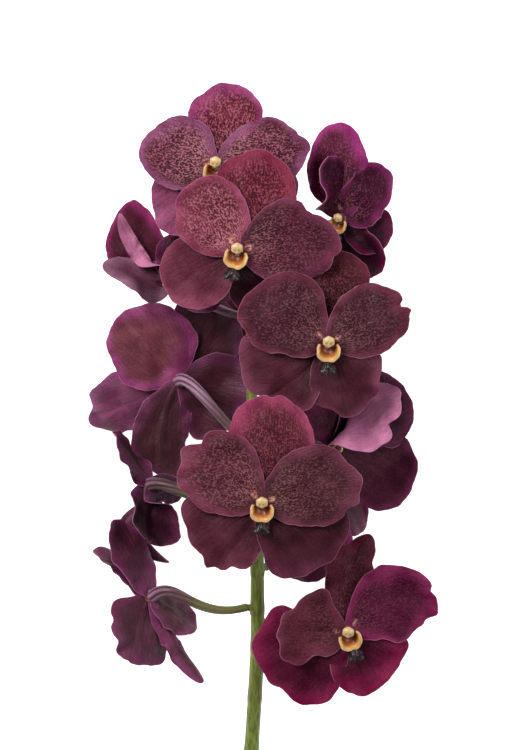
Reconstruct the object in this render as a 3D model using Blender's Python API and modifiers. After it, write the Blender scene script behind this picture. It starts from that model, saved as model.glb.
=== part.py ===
"""Cut vanda orchid: a cut spray of a wine-red vanda, laid on its side.

The green stem runs along Y, with the tip of the spray at +Y and the cut end at -Y. +Z points up
from the surface that the spray lies on. Each bloom has a perianth of five tepals on a small hub,
a lip, a column, and a ribbed pedicel that carries it on the stem.
Lengths in the tables are in millimetres, angles in degrees.
"""
import math
import random

import bmesh
import bpy
from mathutils import Matrix, Vector

MM = 0.001

# Tepals, in millimetres. The petals grow on the front of the hub and the sepals behind them
TEPAL_THICKNESS = 0.9
TEPAL_ROWS = 4
TEPAL_COLUMNS = 5
CLAW_HALF_WIDTH = 2.3
PETAL_LIFT = 0.9
SEPAL_LIFT = -0.9
PETAL_ARCH = 1.2
SEPAL_ARCH = 0.2

# With a quarter here a tepal leaves its hub flat, however far forward or back its tip lies
ROOT_BEND = 0.25

# The lowest that the underside of a petal and of a sepal may reach. What would dip lower is pressed flat
PRESSED_PETAL_HEIGHT = -0.25
PRESSED_SEPAL_HEIGHT = 1.5

# How the wave keeps to a blade's margin, and where along it the wave and the turn begin and end
MARGIN_ACROSS = 2.5
MARGIN_ALONG = 4
WAVE_START = 9.0
TURN_START = 3.5
TURN_SHARE = 0.4

# Hub, column and lip
HUB_RADIUS_BACK = 3.0
HUB_RADIUS_FRONT = 3.5
HUB_HALF_DEPTH = 1.8
HUB_SIDES = 8
SEAT_GAP = 0.3
COLUMN_HEIGHT = 7.0
COLUMN_LEAN = 1.6
COLUMN_FOOT = 0.5
COLUMN_RADII = [(0.0, 1.8), (0.45, 1.9), (0.7, 2.85), (0.9, 2.75), (1.0, 1.33)]
LIP_CUP_RADIUS = 5.2
LIP_CUP_WIDER = 1.15
LIP_CUP_DEPTH = 4.6
LIP_CUP_RINGS = [(0.25, 0.0), (0.75, 0.35), (1.0, 1.0)]
LIP_CUP_STEPS = 6
LIP_CUP_START = 165.0
LIP_CUP_SWEEP = 210.0
LIP_CUP_TILT = 32.0
LIP_CUP_SEAT = (0.0, -1.6, 1.1)
LIP_WALL = 0.8
MIDLOBE_SIZE = (8.0, 10.0, 1.6)
MIDLOBE_TILT = -28.0
MIDLOBE_SEAT = (0.0, -10.4, 4.0)

# Pedicels and stem
PEDICEL_RADIUS_AT_STEM = 1.9
PEDICEL_RADIUS_AT_BLOOM = 3.0
PEDICEL_SWELL = 1.3
PEDICEL_SLANT = 0.35
PEDICEL_POINTS = 8
STRAIGHT_END = 1.0
BOSS_LENGTH = 1.6
BOSS_RADII = [2.1, 1.8]
STEM_CUT_ANGLE = 35.0
STEM_CUT_AT = 4.5
WAVE_SEED = 11

# The middle of the spray's footprint, in the directions of the tables
ORIGIN = Vector((2.9, -53.0, 0.0))

# Points of the stem's middle line with its radius there, from the cut end to the tip
STEM_ROUTE = [
    ((-4.6, -256.0, 3.7), 4.0),
    ((-3.9, -238.0, 5.2), 4.0),
    ((-2.8, -215.0, 9.6), 3.9),
    ((-1.2, -190.0, 15.6), 3.8),
    ((0.6, -160.0, 23.2), 3.7),
    ((1.7, -137.0, 28.6), 3.7),
    ((1.5, -120.0, 32.0), 3.6),
    ((1.4, -94.0, 36.8), 3.4),
    ((0.6, -64.0, 41.2), 3.2),
    ((-0.8, -34.0, 44.8), 3.0),
    ((-2.2, -7.0, 47.6), 2.8),
    ((-4.4, 24.0, 50.4), 2.6),
    ((-7.0, 57.0, 53.0), 2.3),
    ((-9.6, 84.0, 54.6), 2.0),
    ((-11.4, 100.0, 55.4), 1.5),
]

TEPAL_SHAPE = {
    "shoulder": 0.55,
    "base": 0.75,
    "tip_form": 1.0,
    "cup": 0.0,
    "wave": 0.8,
    "waves": 4,
    "skew": 0.0,
    "face": None,
}


def tepal(tip, width, **shape):
    """A tepal by its tip, from the middle of its bloom, and its width. face is the way its front looks."""
    unknown = set(shape) - set(TEPAL_SHAPE)
    if unknown:
        raise ValueError(f"tepal has no {sorted(unknown)}")
    return {**TEPAL_SHAPE, "tip": Vector(tip), "width": width, **shape}


def bloom(centre, facing, up, seat, bow, dorsal, petals, sepals, swing=(0.0, 0.0, 0.0), heart=1.0):
    """A bloom by its middle, the way it faces, its upright direction and its seat along the stem.

    bow and swing shape its pedicel, and heart is the size of its lip and column.
    """
    return {
        "centre": Vector(centre),
        "facing": Vector(facing).normalized(),
        "up": Vector(up),
        "seat": seat,
        "bow": bow,
        "swing": swing,
        "heart": heart,
        "tepals": [("sepal", dorsal)] + [("petal", p) for p in petals] + [("sepal", s) for s in sepals],
    }


# The blooms, from the top of the spray to its lower end
BLOOMS = [
    bloom(
        centre=(-18.9, 105.5, 77.0), facing=(-0.1, 0.1, 1.0), up=(0.1, 1.0, 0.0), seat=82.0, bow=(10, 12),
        dorsal=tepal((6.5, 42.5, -5.0), 38.0, shoulder=0.62),
        petals=[
            tepal((-38.5, 11.5, -3.0), 38.0, shoulder=0.55),
            tepal((45.0, 12.0, -1.0), 35.0, shoulder=0.6),
        ],
        sepals=[
            tepal((-28.0, -28.0, -9.0), 37.0),
            tepal((40.0, -16.0, -9.0), 32.0),
        ],
    ),
    bloom(
        centre=(45.0, 79.8, 64.0), facing=(-0.45, -0.1, 0.9), up=(0.25, 1.0, 0.1), seat=64.0, bow=(14, 14),
        swing=(0.0, 0.0, -14.0), heart=0.8,
        dorsal=tepal((-3.0, 49.0, -6.0), 33.0, shoulder=0.52, tip_form=1.25, face=(-0.3, 0.0, 1.0)),
        petals=[
            tepal((-9.0, 29.5, 12.5), 30.0, face=(0.8, 0.1, 0.5), cup=14.0),
            tepal((22.0, 23.0, 20.0), 28.0, face=(-0.7, 0.0, 0.7), base=0.5, skew=2.0, tip_form=0.85),
        ],
        sepals=[
            tepal((12.0, -31.0, -14.0), 34.0),
            tepal((25.0, -9.0, -4.0), 26.0, face=(-0.3, 0.2, 1.0)),
        ],
    ),
    bloom(
        centre=(-8.2, 62.3, 91.0), facing=(-0.06, 0.0, 1.0), up=(0.0, 1.0, 0.0), seat=46.0, bow=(14, 14),
        dorsal=tepal((10.0, 51.0, -4.0), 42.0, shoulder=0.6, skew=3.0),
        petals=[
            tepal((-27.5, 31.0, 1.0), 38.0, shoulder=0.53, base=0.65, skew=1.5),
            tepal((50.5, 3.0, -4.0), 41.0, shoulder=0.52, tip_form=1.15, skew=-2.5),
        ],
        sepals=[
            tepal((-35.5, -22.0, -8.0), 38.0, shoulder=0.6, skew=2.0),
            tepal((23.0, -30.0, -16.0), 36.0),
        ],
    ),
    bloom(
        centre=(-42.6, 46.2, 52.0), facing=(-0.2, 0.1, 0.97), up=(-1.0, 0.4, 0.0), seat=30.0, bow=(10, 12),
        swing=(0.0, 0.0, -6.0), heart=0.9,
        dorsal=tepal((-24.0, 42.0, -12.0), 33.0, face=(-0.2, -0.2, 1.0), cup=20.0, skew=-6.0),
        petals=[
            tepal((-26.5, 36.0, 5.0), 13.0, face=(-0.2, 0.3, -0.9), cup=20.0),
            tepal((10.0, 24.0, 8.0), 20.0),
        ],
        sepals=[
            tepal(
                (-34.0, 11.0, 8.0), 26.0, face=(-0.1, 0.6, 0.8), cup=20.0, tip_form=1.5, shoulder=0.35,
                base=0.5, skew=1.0,
            ),
            tepal((26.0, -8.0, 4.0), 20.0),
        ],
    ),
    bloom(
        centre=(6.0, 40.5, 13.5), facing=(0.08, 0.08, -1.0), up=(0.1, 1.0, 0.0), seat=12.0, bow=(8, 10),
        dorsal=tepal((6.0, 40.0, -6.0), 35.0),
        petals=[
            tepal((-39.0, 8.0, -20.0), 36.0),
            tepal((42.0, 12.0, -20.0), 38.0),
        ],
        sepals=[
            tepal((-24.0, -30.0, -6.0), 33.0),
            tepal((30.0, -27.0, -6.0), 33.0),
        ],
    ),
    bloom(
        centre=(36.6, 15.9, 92.0), facing=(0.04, 0.0, 1.0), up=(0.0, 1.0, 0.0), seat=0.0, bow=(14, 16),
        dorsal=tepal((8.5, 46.5, -16.0), 36.0, shoulder=0.6),
        petals=[
            tepal((-44.5, 17.0, 3.5), 41.0, shoulder=0.53, skew=5.0),
            tepal((38.5, 19.0, 0.0), 36.0, shoulder=0.58, tip_form=0.85, skew=-1.0),
        ],
        sepals=[
            tepal((-41.0, -22.0, -14.0), 43.0, shoulder=0.58),
            tepal((17.0, -35.0, -9.0), 38.0, shoulder=0.58, tip_form=1.3),
        ],
    ),
    bloom(
        centre=(-39.5, -2.0, 24.0), facing=(-0.2, 0.3, -1.0), up=(-0.6, 0.75, 0.3), seat=-33.0, bow=(10, 16),
        dorsal=tepal((-29.5, 34.0, 8.0), 47.0, shoulder=0.5, base=0.6),
        petals=[
            tepal((-46.0, -20.0, -18.0), 32.0, shoulder=0.66, tip_form=0.8),
            tepal((26.0, 33.0, -1.0), 33.0),
        ],
        sepals=[
            tepal((-8.5, -50.0, -10.0), 30.0, shoulder=0.55, skew=-4.5),
            tepal((33.0, -12.0, -3.0), 42.0),
        ],
    ),
    bloom(
        centre=(40.5, -36.0, 48.0), facing=(0.8, -0.4, 0.3), up=(-0.75, -0.3, 0.6), seat=-58.0, bow=(10, 12),
        heart=0.75,
        dorsal=tepal((-11.0, 24.0, 4.0), 34.0, face=(0.3, 0.0, 1.0)),
        petals=[
            tepal((33.5, 26.0, 20.0), 36.0, face=(0.6, -0.2, -0.6), shoulder=0.55, base=0.5, skew=-5.5),
            tepal((-3.0, -36.0, -14.0), 34.0),
        ],
        sepals=[
            tepal((37.5, 29.0, -12.0), 36.0, shoulder=0.65, tip_form=0.7, face=(0.1, -0.1, 1.0)),
            tepal((42.0, -22.0, -20.0), 42.0, shoulder=0.65, tip_form=0.7, face=(0.1, 0.1, 1.0)),
        ],
    ),
    bloom(
        centre=(3.7, -63.7, 92.0), facing=(0.0, -0.04, 1.0), up=(0.0, 1.0, 0.0), seat=-86.0, bow=(16, 16),
        dorsal=tepal((4.0, 53.5, -3.0), 43.0, shoulder=0.62, skew=2.5),
        petals=[
            tepal((-41.0, 19.0, 2.0), 42.0, shoulder=0.56, skew=5.0),
            tepal((49.0, 12.0, 1.0), 41.0, shoulder=0.55, skew=-2.0),
        ],
        sepals=[
            tepal((-29.0, -28.0, -7.0), 42.0, shoulder=0.6, tip_form=0.75, skew=2.0),
            tepal((31.0, -31.0, -8.0), 46.0, shoulder=0.6, skew=-4.0),
        ],
    ),
    bloom(
        centre=(-55.0, -57.0, 31.0), facing=(-0.5, -0.2, -0.85), up=(0.3, 0.85, -0.3), seat=-72.0,
        bow=(14, 14), heart=0.7,
        dorsal=tepal((-17.2, 28.0, 8.0), 20.0, face=(-0.75, -0.5, -0.3)),
        petals=[
            tepal((-1.5, -29.0, 10.0), 24.0, face=(-0.85, -0.1, -0.4), base=0.5),
            tepal((18.0, -4.0, -12.0), 16.0, wave=0.3),
        ],
        sepals=[
            tepal((12.0, -31.5, -3.0), 28.0, face=(-0.2, 0.0, 1.0), tip_form=1.3, skew=6.0),
            tepal((9.0, -41.5, -10.0), 16.0, face=(-0.2, 0.0, 1.0), skew=13.0),
        ],
    ),
    bloom(
        centre=(33.3, -73.4, 13.5), facing=(0.2, -0.08, -1.0), up=(0.1, 1.0, 0.0), seat=-101.0, bow=(8, 10),
        dorsal=tepal((2.0, 38.0, -5.0), 33.0),
        petals=[
            tepal((-32.0, 12.0, -20.0), 34.0),
            tepal((26.0, 4.5, -17.5), 31.0),
        ],
        sepals=[
            tepal((-10.0, -35.0, -6.0), 34.0),
            tepal((10.0, -25.0, -6.0), 26.0),
        ],
    ),
    bloom(
        centre=(-54.1, -114.4, 38.0), facing=(-0.65, -0.2, -0.7), up=(-0.6, 0.75, 0.0), seat=-121.0,
        bow=(26, 18), swing=(0.0, -8.0, 0.0),
        dorsal=tepal((-19.0, 39.5, 0.0), 26.0, face=(-0.6, -0.3, -0.6)),
        petals=[
            tepal((-28.5, 25.0, -3.0), 20.0, face=(-0.55, -0.7, -0.3)),
            tepal((-7.0, -35.0, 6.0), 41.0, face=(-0.6, 0.1, -0.7), base=0.55, skew=-2.0),
        ],
        sepals=[
            tepal((27.0, -45.0, 0.0), 13.0, face=(-0.5, -0.3, -0.7), cup=70.0),
            tepal((24.0, -17.0, -14.0), 24.0, face=(-0.2, -0.6, -0.7)),
        ],
    ),
    bloom(
        centre=(47.0, -130.6, 62.0), facing=(0.06, -0.06, 1.0), up=(0.1, 1.0, 0.0), seat=-141.0, bow=(14, 14),
        dorsal=tepal((9.5, 50.5, -8.0), 25.0, shoulder=0.6, tip_form=1.2, skew=-4.0),
        petals=[
            tepal((-34.5, -1.5, 8.0), 36.0, shoulder=0.6, tip_form=0.9, skew=1.0),
            tepal((45.5, 16.0, 0.0), 36.0, shoulder=0.55, skew=-8.0),
        ],
        sepals=[
            tepal((-40.0, -26.0, -10.0), 47.0, shoulder=0.58, skew=2.5),
            tepal((18.5, -28.0, -8.0), 39.0, shoulder=0.55),
        ],
    ),
]


def stem_at(y):
    """The middle of the stem and its radius at the distance y along it."""
    for (low, r_low), (high, r_high) in zip(STEM_ROUTE, STEM_ROUTE[1:]):
        if y <= high[1]:
            t = (y - low[1]) / (high[1] - low[1])
            return Vector(low).lerp(Vector(high), t), r_low + t * (r_high - r_low)
    return Vector(STEM_ROUTE[-1][0]), STEM_ROUTE[-1][1]


def bloom_frame(b):
    """The frame of the bloom's heart, on its hub: X its right, Y its dorsal sepal, Z the way it faces."""
    z = b["facing"]
    x = b["up"].cross(z).normalized()
    y = z.cross(x)
    frame = Matrix((x, y, z)).transposed().to_4x4()
    frame.translation = b["centre"] + z * (HUB_HALF_DEPTH + SEAT_GAP)
    return frame @ Matrix.Scale(b["heart"], 4)


def ease(t):
    """Goes smoothly from 0 to 1 as t does."""
    t = min(max(t, 0.0), 1.0)
    return t * t * (3 - 2 * t)


def blade_point(t, s, theta, length, phase):
    """A point of a blade's middle surface: distance along it, across it, and height on its front."""
    half = t["width"] / 2
    side = CLAW_HALF_WIDTH + (half - CLAW_HALF_WIDTH) * (1 - (1 - s) ** 2) ** t["base"]
    shoulder = t["shoulder"] * length
    x = shoulder * s + (length - shoulder) * s * math.cos(theta) ** t["tip_form"]
    y = side * math.sin(theta)
    margin = 1 - (1 - abs(math.sin(theta)) ** MARGIN_ACROSS) * (1 - s ** MARGIN_ALONG)
    turn = math.atan2(y, x - shoulder)
    height = t["wave"] * margin * ease(x / WAVE_START) * math.sin(t["waves"] * turn + phase)
    hump = 4 * (x / length) * (1 - x / length)
    if t["cup"]:
        bend = math.radians(t["cup"]) / half
        height += (1 - math.cos(bend * y)) / bend
        y = math.sin(bend * y) / bend
    return x, y + t["skew"] * hump, height, hump


def tepal_object(name, b, kind, t, rng):
    """One tepal as a blade of even thickness, in the bloom's place but the surface's directions.

    Its root lies flat on the hub. It then bends to its tip and turns about itself to its own face.
    """
    facing = b["facing"]
    lift = facing * (PETAL_LIFT if kind == "petal" else SEPAL_LIFT)
    along = t["tip"] - lift
    length = along.length
    along.normalize()
    across = along.cross(facing).normalized()
    front = across.cross(along)
    face = Vector(t["face"]) if t["face"] else facing
    turn = math.atan2(-face.dot(across), face.dot(front))
    arch = (PETAL_ARCH if kind == "petal" else SEPAL_ARCH) - ROOT_BEND * t["tip"].dot(facing)
    phase = rng.uniform(0, 2 * math.pi)

    bm = bmesh.new()
    bmesh.ops.create_grid(bm, x_segments=TEPAL_ROWS, y_segments=TEPAL_COLUMNS, size=0.5)
    pressed = PRESSED_PETAL_HEIGHT if kind == "petal" else PRESSED_SEPAL_HEIGHT
    lowest = pressed + TEPAL_THICKNESS / 2 - b["centre"].z
    for v in bm.verts:
        x, y, height, hump = blade_point(t, v.co.x + 0.5, v.co.y * math.pi, length, phase)
        lean = turn * ease((x - TURN_START) / (TURN_SHARE * length))
        out = y * math.cos(lean) - height * math.sin(lean)
        rise = y * math.sin(lean) + height * math.cos(lean) + arch * hump
        point = lift + along * x + across * out + front * rise
        point.z = max(point.z, lowest)
        v.co = point * MM
    bmesh.ops.triangulate(bm, faces=bm.faces[:], quad_method="SHORT_EDGE")
    obj = mesh_object(name, bm)
    solid = obj.modifiers.new("Thickness", "SOLIDIFY")
    solid.thickness = TEPAL_THICKNESS * MM
    solid.offset = 0.0
    return obj


def mesh_object(name, bm):
    mesh = bpy.data.meshes.new(name)
    bm.to_mesh(mesh)
    bm.free()
    obj = bpy.data.objects.new(name, mesh)
    bpy.context.scene.collection.objects.link(obj)
    return obj


def material(name, colour, roughness):
    mat = bpy.data.materials.new(name)
    mat.use_nodes = True
    shader = mat.node_tree.nodes["Principled BSDF"]
    shader.inputs["Base Color"].default_value = (*colour, 1.0)
    shader.inputs["Roughness"].default_value = roughness
    return mat


def evaluated_mesh(obj):
    graph = bpy.context.evaluated_depsgraph_get()
    return bpy.data.meshes.new_from_object(obj.evaluated_get(graph))


def keep_body(mesh):
    """Drops the crumbs without volume that a union leaves where two blades cross at a shallow angle."""
    bm = bmesh.new()
    bm.from_mesh(mesh)
    left = set(bm.verts)
    bodies = []
    while left:
        body = [left.pop()]
        for v in body:
            for edge in v.link_edges:
                other = edge.other_vert(v)
                if other in left:
                    left.discard(other)
                    body.append(other)
        bodies.append(body)
    largest = max(bodies, key=len)
    for body in bodies:
        if body is not largest:
            bmesh.ops.delete(bm, geom=body, context="VERTS")
    bm.to_mesh(mesh)
    bm.free()


def join_all(obj, others):
    """Joins the others to obj as one body and removes them."""
    group = bpy.data.collections.new("joined")
    bpy.context.scene.collection.children.link(group)
    for other in others:
        bpy.context.scene.collection.objects.unlink(other)
        group.objects.link(other)
    union = obj.modifiers.new("Union", "BOOLEAN")
    union.operation = "UNION"
    union.operand_type = "COLLECTION"
    union.collection = group
    union.solver = "MANIFOLD"
    mesh = evaluated_mesh(obj)
    keep_body(mesh)
    obj.modifiers.clear()
    obj.data = mesh
    for other in others:
        bpy.data.objects.remove(other)
    bpy.data.collections.remove(group)
    return obj


def place(obj, matrix):
    """Puts an object, in millimetres, where matrix says, in metres."""
    location, rotation, scale = matrix.decompose()
    obj.location = location * MM
    obj.rotation_mode = "QUATERNION"
    obj.rotation_quaternion = rotation
    obj.scale = scale


def hub_object(name, b):
    bm = bmesh.new()
    bmesh.ops.create_cone(
        bm, cap_ends=True, segments=HUB_SIDES, radius1=HUB_RADIUS_BACK * MM, radius2=HUB_RADIUS_FRONT * MM,
        depth=2 * HUB_HALF_DEPTH * MM, matrix=b["facing"].to_track_quat("Z", "Y").to_matrix().to_4x4(),
    )
    return mesh_object(name, bm)


def perianth_object(name, b, rng):
    """The five tepals and the hub that they grow from, as one body that nowhere dips into the surface."""
    tepals = [tepal_object(f"{name}_{i}", b, kind, t, rng) for i, (kind, t) in enumerate(b["tepals"])]
    obj = join_all(hub_object(name, b), tepals)
    for v in obj.data.vertices:
        v.co.z = max(v.co.z, -b["centre"].z * MM)
    obj.location = b["centre"] * MM
    return obj


def tube_object(name, points, radii, resolution):
    """A tube through the points, in millimetres, with filled ends."""
    curve = bpy.data.curves.new(name, "CURVE")
    curve.dimensions = "3D"
    curve.bevel_depth = MM
    curve.bevel_resolution = resolution
    curve.use_fill_caps = True
    spline = curve.splines.new("POLY")
    spline.points.add(len(points) - 1)
    for target, point, radius in zip(spline.points, points, radii):
        target.co = (*(Vector(point) * MM), 1.0)
        target.radius = radius
    obj = bpy.data.objects.new(name, curve)
    bpy.context.scene.collection.objects.link(obj)
    return obj


def solid_from_tube(tube):
    """The tube as a mesh object with its ends welded on."""
    mesh = evaluated_mesh(tube)
    bm = bmesh.new()
    bm.from_mesh(mesh)
    bpy.data.meshes.remove(mesh)
    bmesh.ops.remove_doubles(bm, verts=bm.verts[:], dist=1e-3 * MM)
    name = tube.name
    bpy.data.objects.remove(tube)
    return mesh_object(name, bm)


def column_mesh():
    """The column with its anther cap, standing on the hub's front, leaning towards the lip."""
    points = [(0.0, COLUMN_LEAN * (1 - h * h), COLUMN_HEIGHT * h) for h, _ in COLUMN_RADII]
    points.insert(1, (0.0, COLUMN_LEAN, COLUMN_FOOT))
    radii = [radius for _, radius in COLUMN_RADII]
    radii.insert(1, radii[0])
    obj = solid_from_tube(tube_object("column", points, radii, 1))
    mesh = obj.data
    bpy.data.objects.remove(obj)
    return mesh


def lip_mesh():
    """The lip: side lobes that stand as an open cup under the column, and the thick midlobe below them."""
    tilt = Matrix.Rotation(math.radians(LIP_CUP_TILT), 4, "X")
    bm = bmesh.new()
    rings = []
    for i in range(LIP_CUP_STEPS + 1):
        turn = math.radians(LIP_CUP_START + LIP_CUP_SWEEP * i / LIP_CUP_STEPS)
        ring = []
        for r, h in LIP_CUP_RINGS:
            radius = r * LIP_CUP_RADIUS
            wide = LIP_CUP_WIDER * radius * math.cos(turn)
            spot = Vector((wide, radius * math.sin(turn), h * LIP_CUP_DEPTH))
            ring.append(bm.verts.new((tilt @ spot + Vector(LIP_CUP_SEAT)) * MM))
        rings.append(ring)
    for a, b in zip(rings, rings[1:]):
        for j in range(len(LIP_CUP_RINGS) - 1):
            bm.faces.new((a[j], b[j], b[j + 1], a[j + 1]))
    bmesh.ops.triangulate(bm, faces=bm.faces[:])
    cup = mesh_object("lip", bm)
    wall = cup.modifiers.new("Wall", "SOLIDIFY")
    wall.thickness = LIP_WALL * MM
    wall.offset = 0.0
    cup_mesh = evaluated_mesh(cup)
    cup.modifiers.clear()
    cup.data = cup_mesh

    bm = bmesh.new()
    bmesh.ops.create_uvsphere(bm, u_segments=6, v_segments=4, radius=0.5)
    size = Matrix.Diagonal((*MIDLOBE_SIZE, 1.0))
    lean = Matrix.Rotation(math.radians(MIDLOBE_TILT), 4, "X")
    bm.transform(Matrix.Scale(MM, 4) @ Matrix.Translation(MIDLOBE_SEAT) @ lean @ size)
    midlobe = mesh_object("midlobe", bm)
    obj = join_all(cup, [midlobe])
    mesh = obj.data
    bpy.data.objects.remove(obj)
    return mesh


def pedicel_route(b):
    """Points of the pedicel's middle line, from its boss on the stem to the back of the hub."""
    middle, radius = stem_at(b["seat"])
    end = b["centre"] - b["facing"] * (HUB_HALF_DEPTH + SEAT_GAP)
    out = end - middle
    out.y *= PEDICEL_SLANT
    out.normalize()
    start = middle + out * (radius + BOSS_LENGTH + SEAT_GAP)
    from_stem, to_bloom = b["bow"]
    first = start + out * STRAIGHT_END
    last = end - b["facing"] * STRAIGHT_END
    handles = [first, first + out * from_stem + Vector(b["swing"]), last - b["facing"] * to_bloom, last]
    points = [start]
    for i in range(PEDICEL_POINTS):
        t = i / (PEDICEL_POINTS - 1)
        weights = ((1 - t) ** 3, 3 * t * (1 - t) ** 2, 3 * t * t * (1 - t), t ** 3)
        points.append(sum((h * w for h, w in zip(handles, weights)), Vector()))
    points.append(end)
    return middle, out, points


def pedicel_object(name, b):
    _, _, points = pedicel_route(b)
    steps = [i / (len(points) - 1) for i in range(len(points))]
    grow = PEDICEL_RADIUS_AT_BLOOM - PEDICEL_RADIUS_AT_STEM
    radii = [PEDICEL_RADIUS_AT_STEM + grow * t ** PEDICEL_SWELL for t in steps]
    return tube_object(name, points, radii, 1)


def stem_object(name):
    """The flower stem with a boss for each pedicel and an oblique cut at its lower end."""
    points = [p for p, _ in STEM_ROUTE]
    radii = [r for _, r in STEM_ROUTE]
    stem = solid_from_tube(tube_object(name, points, radii, 2))
    bosses = []
    for i, b in enumerate(BLOOMS):
        middle, out, route = pedicel_route(b)
        tip = route[0] - out * SEAT_GAP
        bosses.append(solid_from_tube(tube_object(f"boss_{i}", [middle, tip], BOSS_RADII, 1)))
    stem = join_all(stem, bosses)
    bm = bmesh.new()
    bm.from_mesh(stem.data)
    angle = math.radians(STEM_CUT_ANGLE)
    cut_at = Vector(STEM_ROUTE[0][0]) + Vector((0, STEM_CUT_AT, 0))
    cut = bmesh.ops.bisect_plane(
        bm, geom=bm.verts[:] + bm.edges[:] + bm.faces[:], dist=1e-4 * MM, plane_co=cut_at * MM,
        plane_no=Vector((math.sin(angle), -math.cos(angle), 0)), clear_outer=True,
    )
    rim = [e for e in cut["geom_cut"] if isinstance(e, bmesh.types.BMEdge)]
    bmesh.ops.contextual_create(bm, geom=rim)
    bm.to_mesh(stem.data)
    bm.free()
    return stem


def build():
    for obj in list(bpy.data.objects):
        bpy.data.objects.remove(obj)
    spray = bpy.data.collections.new("cut_vanda_orchid")
    bpy.context.scene.collection.children.link(spray)
    finishes = {
        "stem": material("green stem", (0.11, 0.13, 0.035), 0.5),
        "tepal": material("wine-red tepal", (0.10, 0.018, 0.035), 0.5),
        "lip": material("yellow lip", (0.55, 0.28, 0.05), 0.4),
        "column": material("cream column", (0.78, 0.60, 0.32), 0.4),
        "pedicel": material("purple pedicel", (0.22, 0.11, 0.14), 0.45),
    }
    rng = random.Random(WAVE_SEED)
    lip = lip_mesh()
    column = column_mesh()
    pieces = [(stem_object("flower_stem"), "stem")]
    for number, b in enumerate(BLOOMS, start=1):
        pieces.append((perianth_object(f"bloom_{number:02d}", b, rng), "tepal"))
        for part_name, mesh in (("lip", lip), ("column", column)):
            obj = bpy.data.objects.new(f"{part_name}_{number:02d}", mesh)
            bpy.context.scene.collection.objects.link(obj)
            place(obj, bloom_frame(b))
            pieces.append((obj, part_name))
        pieces.append((pedicel_object(f"pedicel_{number:02d}", b), "pedicel"))

    root = bpy.data.objects.new("spray", None)
    spray.objects.link(root)
    root.location = -ORIGIN * MM
    for obj, finish in pieces:
        bpy.context.scene.collection.objects.unlink(obj)
        spray.objects.link(obj)
        obj.parent = root
        obj.data.materials.clear()
        obj.data.materials.append(finishes[finish])


build()
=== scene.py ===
import math
import random

import bpy
import numpy as np
from mathutils import Matrix, Vector


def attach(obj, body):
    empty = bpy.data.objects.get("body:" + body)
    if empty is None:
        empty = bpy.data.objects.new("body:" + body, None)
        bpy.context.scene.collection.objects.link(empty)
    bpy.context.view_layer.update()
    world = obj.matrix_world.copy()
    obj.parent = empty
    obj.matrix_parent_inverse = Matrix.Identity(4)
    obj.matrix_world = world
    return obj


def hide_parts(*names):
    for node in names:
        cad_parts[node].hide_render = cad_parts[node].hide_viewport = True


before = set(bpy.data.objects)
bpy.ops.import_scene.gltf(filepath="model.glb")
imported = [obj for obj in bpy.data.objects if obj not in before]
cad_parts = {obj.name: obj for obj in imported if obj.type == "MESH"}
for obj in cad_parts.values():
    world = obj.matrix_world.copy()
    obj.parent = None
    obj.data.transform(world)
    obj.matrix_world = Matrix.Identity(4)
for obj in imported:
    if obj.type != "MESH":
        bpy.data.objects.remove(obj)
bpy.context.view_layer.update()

# Lengths are in millimetres and angles in degrees where no comment says otherwise
MM = 0.001
ORIGIN = np.array((2.9, -53.0, 0.0))

# How bright the studio light makes a white surface that faces the camera
STUDIO_LIGHT = 1.25

# How finely a tepal is worked, and how thick it is at its middle and its rim
TEPAL_ROWS = 40
TEPAL_COLUMNS = 38
ROW_CROWDING = 1.25
TEPAL_THICKNESS = 0.85
RIM_THICKNESS_SHARE = 0.45
RIM_WIDTH = 2.0

# How a tepal leaves the hub, how it arches, and how low the spray's weight presses it
TEPAL_KINDS = ("sepal", "petal", "petal", "sepal", "sepal")
LIFT = {"petal": 0.9, "sepal": -0.9}
ARCH = {"petal": 1.2, "sepal": 0.2}
PRESSED_HEIGHT = {"petal": -0.25, "sepal": 1.5}
ROOT_BEND = 0.25
TURN_START = 3.5
TURN_SHARE = 0.4

# The form of a blade: its claw, its waved margin and frilled rim, its midrib, and the waves that
# make its outline uneven, (count round it, size), and its surface, (length, height)
CLAW_HALF_WIDTH = 2.3
MARGIN_ACROSS = 2.5
MARGIN_ALONG = 4
RIM_ACROSS = 8
RIM_ALONG = 6
WAVE_START = 9.0
MARGIN_WAVES = 4
RIM_FRILLS = 9
NOTCH_CURL = 0.9
MIDRIB_DEPTH = 0.5
MIDRIB_HALF_WIDTH = 1.4
MIDRIB_START = 6.0
OUTLINE_WAVES = [(3, 0.012), (7, 0.012), (13, 0.007), (23, 0.005)]
SURFACE_WAVES = [(23.0, 0.55), (14.0, 0.30), (9.0, 0.13)]
WAVE_SEED = 11
HABIT_SEED = 5

# How the colours lie on a blade: the spread of its veins, the uneven margin, the dark root, the darker heart
# of a sepal, partly its own colour and partly painted shade where it meets the bloom's heart, the pale claw
# of a petal, and the netting that fades towards rim and tip
LANE_SHARE = 0.8
MARGIN_UNEVEN = [(1, 0.45), (3, 0.22)]
ROOT_DARK = 0.35
ROOT_LENGTH = 3.5
HEART_START = 4.0
SEPAL_HEART_TONE_AND_SHADE = 0.5
SEPAL_HEART_TONE_AND_SHADE_SHARE = 0.6
CLAW_AT = 5.4
CLAW_LENGTH = 2.6
CLAW_WIDTH = 1.9
CLAW_MARKS = 0.5
CREAM_CELLS = 0.4
CREAM_SHARE = 0.45
CREAM_MARKS = 0.6
NETTING_STRENGTH = 1.15
NETTING_AT_RIM = 0.15
NETTING_RIM = 1.0
NETTING_RISE = 6.0
NETTING_FADE = 0.35
FILL_FADE = 0.16

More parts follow.
